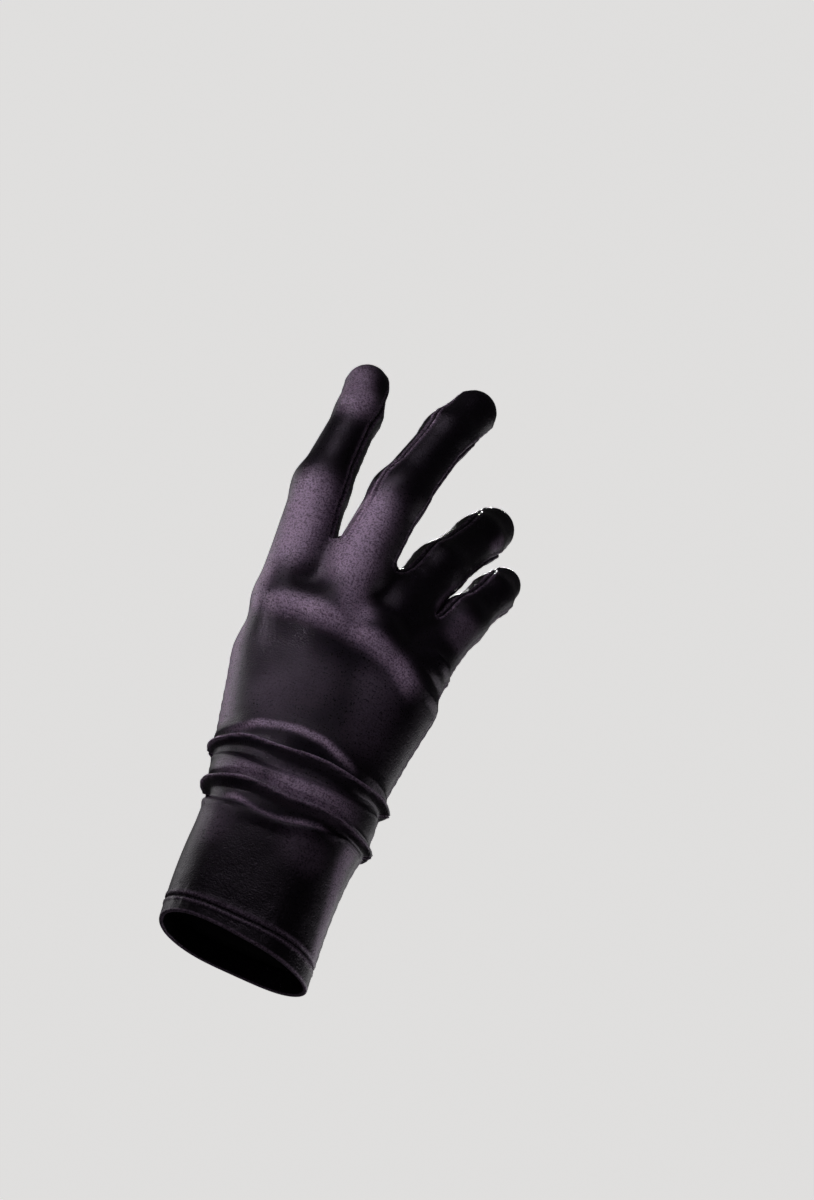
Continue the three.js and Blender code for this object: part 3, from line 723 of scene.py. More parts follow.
    def led_to_tip(self, seam: float, along: Array) -> Array:
        """Returns a seam's degrees along a finger, drawn to its place at the tip."""
        return seam + (self.tip_seam - seam) * smooth_step(along, self.tip_seam_start, 1)

    def finger_start(self, finger: int, side: Array | float) -> Array:
        """Returns how far from its knuckle a finger stands free of the web."""
        hand = self.hand
        parting = hand.parting(finger, side)
        return np.linalg.norm(parting - hand.joints[finger][0], axis=-1) + hand.web_rise * hand.web_radius


def arc_tables(points: Array) -> tuple[Array, Array]:
    """Returns the running lengths of a grid's places along its columns and along its rows."""
    down = np.linalg.norm(np.diff(points, axis=0), axis=-1).mean(axis=1)
    across = np.linalg.norm(np.diff(points, axis=1), axis=-1)
    along = np.concatenate([[0.0], np.cumsum(down)])
    around = np.concatenate([np.zeros((len(points), 1)), np.cumsum(across, axis=1)], axis=1)
    around -= around[:, -1:] / 2
    return np.broadcast_to(along[:, None], around.shape), around


class SeamLines:
    """Every sewn line of the glove, for the groove and the gathers that sewing leaves in the cloth."""

    STEP = 0.25

    def __init__(self) -> None:
        """Starts without a line."""
        self.lines: list[Array] = []
        self.tree: kdtree.KDTree | None = None
        self.lengths: list[float] = []

    def add(self, line: Array) -> None:
        """Adds a line of places, filled in to small even steps."""
        run = run_lengths(line)
        self.lines.append(along_line(np.arange(0.0, run[-1], self.STEP), run, line))

    def settle(self) -> None:
        """Makes the search tree once every line is in."""
        places = np.concatenate(self.lines)
        self.lengths = [step * self.STEP for line in self.lines for step in range(len(line))]
        self.tree = kdtree.KDTree(len(places))
        for index, place in enumerate(places):
            self.tree.insert(place, index)
        self.tree.balance()

    def near(self, points: Array) -> tuple[Array, Array]:
        """Returns each place's distance to the nearest sewn line, and how far along that line it is."""
        found = [self.tree.find(point) for point in points.reshape(-1, 3)]
        gaps = np.array([hit[2] for hit in found]).reshape(points.shape[:-1])
        runs = np.array([self.lengths[hit[1]] for hit in found]).reshape(points.shape[:-1])
        return gaps, runs


@dataclass
class Tailor:
    """Lays the cut cloth on the hand and sinks its seams."""

    cut: GloveCut
    finger_step: float = 1.35
    body_step: float = 1.3
    fold_step: float = 0.5
    fold_zone: tuple[float, float] = (38.0, 90.0)
    web_rows: int = 9
    cap_rows: int = 9
    groove: float = 0.62
    groove_reach: float = 0.55
    hem_groove: float = 0.3
    hem_zone: float = 11.0
    lip: float = 0.32
    lip_place: float = 1.15
    lip_width: float = 0.5
    pucker: float = 0.11
    pucker_length: float = 4.4
    pucker_reach: float = 3.2
    pucker_gap: float = 0.8
    pucker_drift: float = 1.3
    pucker_drift_length: float = 7.1
    wear_reach: float = 2.2
    crest_columns: int = 7
    loose_from: float = 0.55   # share of the half width from which a column leaves the web sideways
    web_pull: float = 1.6
    web_rise: float = 0.25
    edge_columns: tuple[float, ...] = (1.0, 0.976, 0.952, 0.914, 0.867, 0.81, 0.735, 0.64, 0.54, 0.43, 0.32,
                                       0.21, 0.1)
    strip_columns: tuple[float, ...] = (0.0, 0.025, 0.05, 0.09, 0.14, 0.2, 0.28, 0.38, 0.5)
    seams: SeamLines = field(default_factory=SeamLines)

    def __post_init__(self) -> None:
        """Works out the rows and columns that the pieces share, and the panels' raw strips."""
        edges = np.array(self.edge_columns)
        self.columns = np.concatenate([-edges, [0.0], edges[::-1]])
        self.web_shares = (np.arange(self.web_rows) + 1.0) / (self.web_rows + 1)
        half = np.array(self.strip_columns)
        self.strip = np.concatenate([half, 1 - half[-2::-1]])
        self.strips = {(side, finger): self._strip(finger, side)
                       for side in Side for finger in range(FINGERS)}
        # The painted highlights: the listed patches and a painted pale line along each fold's crest.
        crest_highlights = [self.crest_highlight(fold, side) for fold in self.cut.folds for side in Side]
        self.painted_highlight = [*self.cut.painted_highlight, *crest_highlights]

    def crest_highlight(self, fold: Fold, side: Side) -> PaintedHighlight:
        """Returns the painted highlight that runs along a fold's crest."""
        places, columns = [], np.linspace(-1, 1, self.crest_columns)
        for finger in range(FINGERS):
            around = self.around(finger, columns)
            rows = self.cut.crest_height(fold, around) / self.cut.hand.web_height
            points, _ = self.body(finger, side, rows, columns)
            places += list(points[np.arange(len(rows)), np.arange(len(rows))][:-1])
        return PaintedHighlight(places, self.cut.crest_reach, self.cut.crest_share, self.cut.crest_fading)

    @staticmethod
    def around(finger: int, columns: Array) -> Array:
        """Returns where a strip's columns lie on their panel, from -1 at the thumb's side to 1."""
        return (finger + 0.5 + columns / 2) / FINGERS * 2 - 1

    def body_rows(self) -> Array:
        """Returns the rows from the hem band to the webs, closest together over the folds."""
        height, (low, high) = self.cut.hand.web_height, self.fold_zone
        rows = [np.arange(self.cut.hem_height, low, self.body_step), np.arange(low, high, self.fold_step),
                np.arange(high, height - self.body_step / 2, self.body_step), [height]]
        return np.concatenate(rows) / height

    def finger_rows(self, finger: int) -> Array:
        """Returns the even rows of a finger, as shares of the way from the web to the tip."""
        free = self.cut.hand.plans[finger].length - self.cut.finger_start(finger, 0.0)
        return np.linspace(0, 1, int(free / self.finger_step) + 2)

    def body(self, finger: int, side: Side, rows: Array, columns: Array) -> tuple[Array, Array]:
        """Returns places and outward directions on the body of the glove.

        Args:
            finger: whose strip it is.
            side: back or palm.
            rows: shares of the way from the hem to the web.
            columns: places across the strip, from -1 to 1.
        """
        hand = self.cut.hand
        t, at = np.meshgrid(columns, rows)
        starts, aims, angles = self.cut.body_ray(finger, side, t, at)
        points = cast(hand.whole, starts, aims)
        normals = skin_normals(hand.whole, points)
        lift = self.cut.fold_lift(at, self.around(finger, t), side, angles)
        return points + normals * lift[..., None], normals

    def on_finger(self, finger: int, side: Array, angle: Array, along: Array,
                  cap: Array) -> tuple[Array, Array]:
        """Returns places and outward directions on a free finger, as finger_ray takes them."""
        form = self.cut.hand.finger(finger)
        starts, aims = self.cut.finger_ray(finger, side, angle, along, cap)
        points = cast(form, starts, aims)
        return points, skin_normals(form, points)

    def _strip(self, finger: int, side: Side) -> tuple[Array, Array, int]:
        """Returns a finger's whole strip of a panel, its outward directions and its count of body rows."""
        cut = self.cut
        t = self.columns
        body, body_normals = self.body(finger, side, self.body_rows(), t)
        along = np.concatenate([self.finger_rows(finger), np.ones(self.cap_rows)])
        over_tip = np.linspace(0, 90, self.cap_rows + 1)[1:]
        caps = np.concatenate([np.zeros(len(along) - self.cap_rows), over_tip])
        t_grid, along_grid = np.meshgrid(t, along)
        first, last = cut.seam_angles(finger, side, along_grid)
        angle = t_grid * np.where(t_grid < 0, first, last)
        angle = angle if side is Side.BACK else 180 - angle
        upper, upper_normals = self.on_finger(finger, t_grid, angle, along_grid,
                                              np.broadcast_to(caps[:, None], angle.shape))
        webbed = np.zeros(len(t), bool)
        webbed[t < 0] = finger > 0
        webbed[t > 0] = finger < FINGERS - 1
        loose = smooth_step(np.abs(t), self.loose_from, 1) * webbed
        between = self._bridge(body, upper, loose)
        normals = self._web_normals(finger, between)
        points = np.concatenate([body, between, upper])
        return points, np.concatenate([body_normals, normals, upper_normals]), len(body)

    def _web_normals(self, finger: int, rows: Array) -> Array:
        """Returns the outward directions of a web's rows, which pass from the hand to a finger."""
        weight = np.broadcast_to(smooth_step(self.web_shares, 0, 1)[:, None], rows.shape[:-1])
        return unit(mix(skin_normals(self.cut.hand.whole, rows, BROAD),
                        skin_normals(self.cut.hand.finger(finger), rows, BROAD), weight))

    def _bridge(self, body: Array, upper: Array, loose: Array) -> Array:
        """Returns the smooth rows between the body's last row and a finger's first.

        Args:
            body: rows of the body.
            upper: rows of the finger.
            loose: for each column, how much it leaves the web sideways and not straight up.
        """
        start, end = body[-1], upper[0]
        span = np.linalg.norm(end - start, axis=-1, keepdims=True)
        rising = unit(body[-1] - body[-3])
        leaving = unit(upper[2] - upper[0])
        gap = end - start
        sideways = gap - (gap * leaving).sum(-1, keepdims=True) * leaving
        first = mix(rising * span, sideways * self.web_pull + rising * span * self.web_rise, loose)
        return hermite(start, first, end, leaving * span, self.web_shares[:, None, None])

    def border(self, side: Side, finger: int, last: bool) -> Array:
        """Returns one edge of a finger's strip from its web to its tip."""
        points, _, body = self.strips[side, finger]
        return points[body - 1:, -1 if last else 0]

    def gather_seams(self) -> None:
        """Gathers every sewn line of the glove, the thumb's aside."""
        for side in Side:
            for finger in range(FINGERS):
                points, _, body = self.strips[side, finger]
                for last in (False, True):
                    outer = finger == (FINGERS - 1 if last else 0)
                    self.seams.add(points[0 if outer else body - 1:, -1 if last else 0])
                self.seams.add(points[0])

    def sewn(self, points: Array, normals: Array) -> tuple[Array, Array]:
        """Sinks the cloth into its seams and gathers it beside them.

        Returns:
            The moved places, and for each how near it is to a seam and how strong its painted highlight is,
            both from 0 to 1.
        """
        gap, run = self.seams.near(points)
        on_lip = np.exp(-((gap - self.lip_place) / self.lip_width)**2)
        lift = self.lip * on_lip
        depth = np.where(points[..., 2] < self.hem_zone, self.hem_groove, self.groove)
        lift -= depth * np.exp(-(gap / self.groove_reach)**2)
        uneven = self.pucker_drift * np.sin(run / self.pucker_drift_length)
        wave = np.sin(2 * np.pi * run / self.pucker_length + uneven)
        fade = np.exp(-(gap / self.pucker_reach)**2) * (1 - np.exp(-(gap / self.pucker_gap)**2))
        lift += self.pucker * wave * fade
        for crease in self.cut.creases:
            lift += crease.lift(points)
        # A painted highlight along each seam's lip.
        painted_highlight = self.cut.lip_highlight * on_lip
        # Each patch paints a highlight, and the strongest one counts.
        for patch in self.painted_highlight:
            painted_highlight = np.maximum(painted_highlight, patch.paleness(points))
        return points + normals * lift[..., None], np.stack([np.exp(-(gap / self.wear_reach)**2), painted_highlight], -1)

    def laid(self, points: Array, normals: Array) -> ClothGrid:
        """Returns cloth sunk into its seams, with its places, its wear beside the seams and its painted
        highlights.
        """
        moved, marks = self.sewn(points, normals)
        along, around = arc_tables(points)
        return ClothGrid(moved, normals, np.dstack([around, along, marks])).facing_out()

    def panel(self, side: Side) -> list[ClothGrid]:
        """Returns the four strips of a panel."""
        return [self.laid(*self.strips[side, finger][:2]) for finger in range(FINGERS)]

    def fourchette(self, finger: int) -> ClothGrid:
        """Returns the strip between a finger and the next: down one, through the web and up the other."""
        down, down_normals = self._fourchette_side(finger, 1.0)
        up, up_normals = self._fourchette_side(finger + 1, -1.0)
        web, web_normals = self._web(finger)
        slope = (up[0] - down[0]) / 2
        halves = []      # places and directions of the web's rows towards each finger
        for rows, own, first in ((down, finger, -slope), (up, finger + 1, slope)):
            end, leaving = rows[0], unit(rows[2] - rows[0])
            span = np.linalg.norm(end - web, axis=-1, keepdims=True)
            middle = hermite(web, first, end, leaving * span, self.web_shares[:, None, None])
            for column, side in ((0, Side.BACK), (-1, Side.PALM)):
                target = self.border(side, own, own == finger)[1:self.web_rows + 1]
                off = target - middle[:, column]
                pull = (1 - self.strip if column == 0 else self.strip)**3
                middle = middle + off[:, None] * pull[None, :, None]
            halves.append((middle, self._web_normals(own, middle)))
        (below, below_normals), (above, above_normals) = halves
        points = [down[::-1], below[::-1], web[None], above, up]
        normals = [down_normals[::-1], below_normals[::-1], web_normals[None], above_normals, up_normals]
        return self.laid(np.concatenate(points), np.concatenate(normals))

    def _fourchette_side(self, finger: int, turn: float) -> tuple[Array, Array]:
        """Returns the straight rows of a strip along one finger, from its web to its tip."""
        share, along = np.meshgrid(self.strip, self.finger_rows(finger))
        seam = self.cut.led_to_tip(self.cut.fourchette_seam, along)
        angle = turn * (seam + (180 - 2 * seam) * share)
        return self.on_finger(finger, np.full(angle.shape, turn), angle, along, np.zeros(angle.shape))

    def _web(self, finger: int) -> tuple[Array, Array]:
        """Returns the row across the bottom of the web between a finger and the next."""
        cut, hand = self.cut, self.cut.hand
        start = (hand.parting(finger, 1.0) + hand.parting(finger + 1, -1.0)) / 2
        starts = np.broadcast_to(start, (len(self.strip), 3)).copy()
        roll = (hand.plans[finger].roll + hand.plans[finger + 1].roll) / 2
        tilt = cut.web_tilt + (90 - cut.web_tilt) * (1 - np.abs(1 - 2 * self.strip))
        aims = cut.web_aim(finger, finger + 1, roll + np.where(self.strip > 0.5, 180.0, 0.0), tilt)
        points = cast(hand.whole, starts, aims)
        reach = np.linalg.norm(points - starts, axis=-1)
        most = hand.web_reach * hand.web_radius
        middle = 1 - np.abs(1 - 2 * self.strip)
        kept = np.where(middle > 0, np.minimum(reach, most), reach)
        points = starts + aims * kept[:, None]
        return points, unit(mix(skin_normals(hand.whole, points, BROAD), aims, middle))


@dataclass
class ThumbCut:
    """The set-in thumb: an oval seam on its mound, cloth pulled from there, and rings to the round tip."""

    tailor: Tailor
    hole: tuple[float, float, float] = (-0.4, 0.2, 0.5)
    hole_aim: tuple[float, float, float] = (-0.32, 0.94, 0.1)
    hole_turn: float = 14.0
    hole_width: float = 32.0
    hole_length: float = 44.0
    clear: float = 0.35
    behind: float = -8.0       # mm below the oval's plane to which the palm still counts
    far: float = 9.0
    path_step: float = 0.04
    out_passes: int = 16
    out_step: float = 0.3
    columns: int = 84
    base_rows: int = 12
    rows: int = 40
    cap_rows: int = 9

    def __post_init__(self) -> None:
        """Works out the oval's own axes and the thumb's path."""
        hand = self.tailor.cut.hand
        self.centre = hand.place(*self.hole)
        self.aim = unit(np.array(self.hole_aim))
        left = unit(np.cross([0, 0, 1], self.aim))
        turn = math.radians(-self.hole_turn)
        self.across = left * math.cos(turn) + np.cross(self.aim, left) * math.sin(turn)
        self.up = np.cross(self.aim, self.across)
        path = np.vstack([self.centre, hand.thumb_joints])
        for _ in range(5):
            quarter, rest = path[:-1] * 0.75 + path[1:] * 0.25, path[:-1] * 0.25 + path[1:] * 0.75
            path = np.vstack([path[0], np.stack([quarter, rest], 1).reshape(-1, 3), path[-1]])
        self.path, run = path, run_lengths(path)
        self.run = run / run[-1]
        self.turns = np.linspace(0, 2 * np.pi, self.columns + 1)

    def on_palm(self, flat: Array) -> Array:
        """Returns places of the oval's plane moved out to the palm."""
        starts = self.centre + flat[:, :1] * self.across + flat[:, 1:] * self.up
        return cast(self.tailor.cut.hand.palm, starts, np.broadcast_to(self.aim, starts.shape))

    def base(self) -> Array:
        """Returns the seam's places on the palm."""
        return self.on_palm(np.stack([self.hole_width / 2 * np.cos(self.turns),
                                      self.hole_length / 2 * np.sin(self.turns)], -1))

    def oval_share(self, points: Array) -> Array:
        """Returns how far out places lie, 1 on the oval, and far more on the glove's other side."""
        rel = points - self.centre
        share = np.hypot(rel @ self.across / (self.hole_width / 2), rel @ self.up / (self.hole_length / 2))
        return np.where(rel @ self.aim > self.behind, share, self.far)

    def onto_oval(self, points: Array) -> Array:
        """Returns border places moved onto the oval seam."""
        rel = points - self.centre
        flat = np.stack([rel @ self.across, rel @ self.up], -1)
        return self.on_palm(flat / self.oval_share(points)[:, None])

    def ring(self, share: float, cap: float) -> Array:
        """Returns one ring of places round the thumb.

        Args:
            share: part of the way along the thumb's path.
            cap: degrees up over the tip.
        """
        stops = np.clip([share - self.path_step, share, share + self.path_step], 0, 1)
        before, place, beyond = along_line(stops, self.run, self.path)
        tangent = unit(beyond - before)
        axis = unit(mix(self.aim, tangent, smooth_step(np.array(share), 0, 2 * self.clear)))
        up = unit(self.up - (self.up @ axis) * axis)
        across = np.cross(up, axis)
        rise = math.radians(cap)
        aims = np.cos(self.turns)[:, None] * across + np.sin(self.turns)[:, None] * up
        aims = aims * math.cos(rise) + axis * math.sin(rise)
        return cast(self.tailor.cut.hand.thumb, np.broadcast_to(place, aims.shape).copy(), aims)

    def out_of_palm(self, points: Array) -> Array:
        """Returns places moved out to the skin where they lie under it."""
        form = self.tailor.cut.hand.thumb_on_palm
        for _ in range(self.out_passes):
            depth = np.minimum(form(points), 0)
            points = points - skin_normals(form, points, self.out_step) * depth[:, None]
        return points

    def grid(self) -> ClothGrid:
        """Returns the whole thumb, from its oval seam to its tip."""
        base, clear = self.base(), self.out_of_palm(self.ring(self.clear, 0))
        shares = np.linspace(0, 1, self.base_rows + 1)[1:-1]
        rows = [base, *(self.out_of_palm(base * (1 - share) + clear * share) for share in shares)]
        rows += [self.out_of_palm(self.ring(share, 0)) for share in np.linspace(self.clear, 1, self.rows)]
        rows += [self.ring(1, cap) for cap in np.linspace(0, 90, self.cap_rows + 1)[1:]]
        points = np.stack(rows)
        return self.tailor.laid(points, skin_normals(self.tailor.cut.hand.thumb_on_palm, points, BROAD))


@dataclass
class HemCut:
    """The edge turned up inside and stitched: a thin doubled band with a round lower edge."""

    tailor: Tailor
    wall: float = 1.5
    back_rise: float = 2.3
    rise_turn: float = 25.0
    rows: int = 12
    edge_rows: int = 9
    # Strength of the painted highlight along the band's rounded lower edge.
    edge_highlight: float = 0.5
    stitch_height: float = 0.9
    stitch_length: float = 2.0
    stitch_step: float = 2.9
    stitch_sink: float = 0.05
    thread: float = 0.21

    def ring(self, share: Array) -> tuple[Array, Array]:
        """Returns places and outward directions round the band.

        Args:
            share: rows from its lower edge, at 0, to its top, at 1.
        """
        cut = self.tailor.cut
        places, directions = [], []
        order = [(Side.BACK, finger, self.tailor.columns) for finger in range(FINGERS)]
        order += [(Side.PALM, finger, self.tailor.columns[::-1]) for finger in reversed(range(FINGERS))]
        for side, finger, columns in order:
            t, up = np.meshgrid(columns, share)
            _, _, angle = cut.body_ray(finger, side, t, np.full(t.shape, cut.body_start))
            low = self.back_rise * np.clip(np.cos(np.radians(angle + self.rise_turn)), 0, 1)**2
            low = (low + self.wall / 2) / cut.hand.web_height
            at = low + (cut.body_start - low) * up
            starts, aims, angle = cut.body_ray(finger, side, t, at)
            points = cast(cut.hand.whole, starts, aims)
            normals = skin_normals(cut.hand.whole, points)
            lift = cut.fold_lift(at, self.tailor.around(finger, t), side, angle)
            places.append((points + normals * lift[..., None])[:, :-1])
            directions.append(normals[:, :-1])
        points, normals = np.concatenate(places, 1), np.concatenate(directions, 1)
        return np.concatenate([points, points[:, :1]], 1), np.concatenate([normals, normals[:, :1]], 1)

    def grid(self) -> ClothGrid:
        """Returns the band as one closed ring: down its outside, round its edge and up its inside."""
        points, normals = self.ring(np.linspace(1, 0, self.rows))
        outside, marks = self.tailor.sewn(points, normals)
        inside = (points - normals * self.wall)[::-1]
        down = unit(points[-1] - points[-2])
        middle = outside[-1] - normals[-1] * self.wall / 2
        turns = np.linspace(0, np.pi, self.edge_rows + 2)[1:-1, None, None]
        edge_aims = normals[-1] * np.cos(turns) + down * np.sin(turns)
        rows = np.concatenate([outside, middle + self.wall / 2 * edge_aims, inside, outside[:1]])
        aims = np.concatenate([normals, edge_aims, -normals[::-1], normals[:1]])
        along, around = arc_tables(rows)
        # Seam wear and painted highlights; the rounded lower edge gets a painted highlight.
        wear_and_highlight = np.zeros(along.shape + (2,))
        wear_and_highlight[:len(marks)] = marks
        wear_and_highlight[len(marks) - 1:len(marks) + self.edge_rows, :, 1] = self.edge_highlight
        return ClothGrid(rows, aims, np.dstack([around, along, wear_and_highlight])).facing_out()

    def stitches(self) -> list[tuple[Array, Array, Array]]:
        """Returns each stitch's middle, its run along the band and its outward direction."""
        height = self.tailor.cut.hem_height - self.stitch_height
        points, normals = self.ring(np.array([height / self.tailor.cut.hem_height]))
        points, normals = points[0], normals[0]
        run = run_lengths(points)
        count = int(run[-1] / self.stitch_step)
        at = (np.arange(count) + 0.5) * run[-1] / count
        places, ahead, aims = (along_line(where, run, table)
                               for where, table in ((at, points), (at + 0.5, points), (at, normals)))
        return list(zip(places, unit(ahead - places), unit(aims)))


# Making meshes

def add_object(name: str, data: bpy.types.ID) -> bpy.types.Object:
    """Returns a new object, linked to the scene."""
    made = bpy.data.objects.new(name, data)
    bpy.context.scene.collection.objects.link(made)
    return made


def new_mesh(name: str, shape: bmesh.types.BMesh) -> bpy.types.Mesh:
    """Returns a new smooth mesh from a shape, which it frees."""
    mesh = bpy.data.meshes.new(name)
    shape.to_mesh(mesh)
    shape.free()
    mesh.polygons.foreach_set("use_smooth", np.ones(len(mesh.polygons), bool))
    return mesh


def cloth_mesh(name: str, grids: Sequence[ClothGrid]) -> bpy.types.Mesh:
    """Lays a flat grid for each strip of cloth, moves its vertices onto the glove and joins the strips.

    Args:
        name: name of the mesh.
        grids: the strips.

    Returns:
        The mesh in metres, with a UV map in millimetres along the cloth, a "seam" attribute and an attribute
        that carries the painted highlights.
    """
    flat = bmesh.new()
    for place, grid in enumerate(grids):
        rows, columns = grid.points.shape[:2]
        bmesh.ops.create_grid(flat, x_segments=columns - 1, y_segments=rows - 1, size=0.5,
                              matrix=Matrix.Translation((LAID_STEP * place, 0, 0)))
    mesh = new_mesh(name, flat)
    count = len(mesh.vertices)
    laid = np.empty(count * 3)
    mesh.vertices.foreach_get("co", laid)
    laid = laid.reshape(-1, 3)
    strip = np.rint(laid[:, 0] / LAID_STEP).astype(int)
    places, cloth = np.empty((count, 3)), np.empty((count, 4))
    for index, grid in enumerate(grids):
        own = strip == index
        rows, columns = grid.points.shape[:2]
        row = np.rint((laid[own, 1] + 0.5) * (rows - 1)).astype(int)
        column = np.rint((laid[own, 0] - LAID_STEP * index + 0.5) * (columns - 1)).astype(int)
        places[own], cloth[own] = grid.points[row, column], grid.uv[row, column]
    mesh.vertices.foreach_set("co", (places * MM).ravel())
    corner = np.empty(len(mesh.loops), int)
    mesh.loops.foreach_get("vertex_index", corner)
    mesh.uv_layers.new(name="cloth").uv.foreach_set("vector", cloth[corner, :2].ravel())
    # Column 3 of the marks carries the painted highlights.
    for column, mark in ((2, "seam"), (3, "painted_highlight")):
        values = mesh.attributes.new(mark, "FLOAT", "POINT").data
        values.foreach_set("value", cloth[:, column].astype(np.float32))
    joined = bmesh.new()
    joined.from_mesh(mesh)
    bmesh.ops.remove_doubles(joined, verts=joined.verts, dist=JOINED_WITHIN * MM)
    joined.to_mesh(mesh)
    joined.free()
    return mesh


def finish_piece(mesh: bpy.types.Mesh, materials: Sequence[bpy.types.Material],
                 replaced: str | None, wall: float = 0.0) -> None:
    """Links a mesh as a smooth piece of the glove, gives it its wall and hands it to the frame.

    Args:
        mesh: the finished mesh.
        materials: its outside and, where it has a wall, its reverse.
        replaced: the CAD node that it stands for.
        wall: thickness of the cloth in millimetres, none at 0.
    """
    for material in materials:
        mesh.materials.append(material)
    piece = add_object(mesh.name, mesh)
    if wall:
        solid = piece.modifiers.new("wall", "SOLIDIFY")
        solid.thickness = wall * MM
        solid.offset = -1
        solid.material_offset = 1
        solid.material_offset_rim = 0
    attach(piece, "root")
    if replaced:
        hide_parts(replaced)
    LOG.info("%s: %d faces", piece.name, len(mesh.polygons))


# Materials

def linear(hex_colour: str) -> tuple[float, float, float, float]:
    """Returns an sRGB hex colour as linear red, green, blue and alpha."""
    parts = [int(hex_colour[i:i + 2], 16) / 255 for i in (1, 3, 5)]
    return (*(p / 12.92 if p <= 0.04045 else ((p + 0.055) / 1.055)**2.4 for p in parts), 1.0)


def add_node(tree: bpy.types.NodeTree, kind: str, settings: dict | None = None,
             links: dict | None = None, **values: object) -> bpy.types.Node:
    """Adds a node to a material.

    Args:
        tree: the material's tree.
        kind: the node's type.
        settings: the node's own properties.
        links: for its inputs, by name or number, the outputs that feed them.
        values: for its inputs, numbers and colours, with _ for a space in the name.
    """
    node = tree.nodes.new(kind)
    for key, value in (settings or {}).items():
        setattr(node, key, value)
    for key, value in values.items():
        node.inputs[key.replace("_", " ")].default_value = value
    for key, output in (links or {}).items():
        tree.links.new(output, node.inputs[key])
    return node


def new_material(name: str) -> tuple[bpy.types.Material, bpy.types.NodeTree]:
    """Returns a new material and its emptied node tree."""
    material = bpy.data.materials.new(name)
    material.use_nodes = True
    material.node_tree.nodes.clear()
    return material, material.node_tree


def mixed(tree: bpy.types.NodeTree, share: bpy.types.NodeSocket, low: str | bpy.types.NodeSocket,
          high: str) -> bpy.types.NodeSocket:
    """Returns the mix of two colours, the first a hex colour or the output of a node."""
    node = add_node(tree, "ShaderNodeMix", {"data_type": "RGBA"}, {0: share})
    if isinstance(low, str):
        node.inputs[6].default_value = linear(low)
    else:
        tree.links.new(low, node.inputs[6])
    node.inputs[7].default_value = linear(high)
    return node.outputs[2]


def weighted_sum(tree: bpy.types.NodeTree, first: bpy.types.NodeSocket, weight: float,
                 second: bpy.types.NodeSocket) -> bpy.types.NodeSocket:
    """Returns the first value times its weight, plus the second."""
    node = add_node(tree, "ShaderNodeMath", {"operation": "MULTIPLY_ADD"}, {0: first, 2: second})
    node.inputs[1].default_value = weight
    return node.outputs[0]


def add_surface(tree: bpy.types.NodeTree, links: dict | None = None, **values: object) -> None:
    """Adds the material's shader, as add_node takes it, and its output."""
    shader = add_node(tree, "ShaderNodeBsdfPrincipled", links=links, **values)
    add_node(tree, "ShaderNodeOutputMaterial", links={"Surface": shader.outputs[0]})


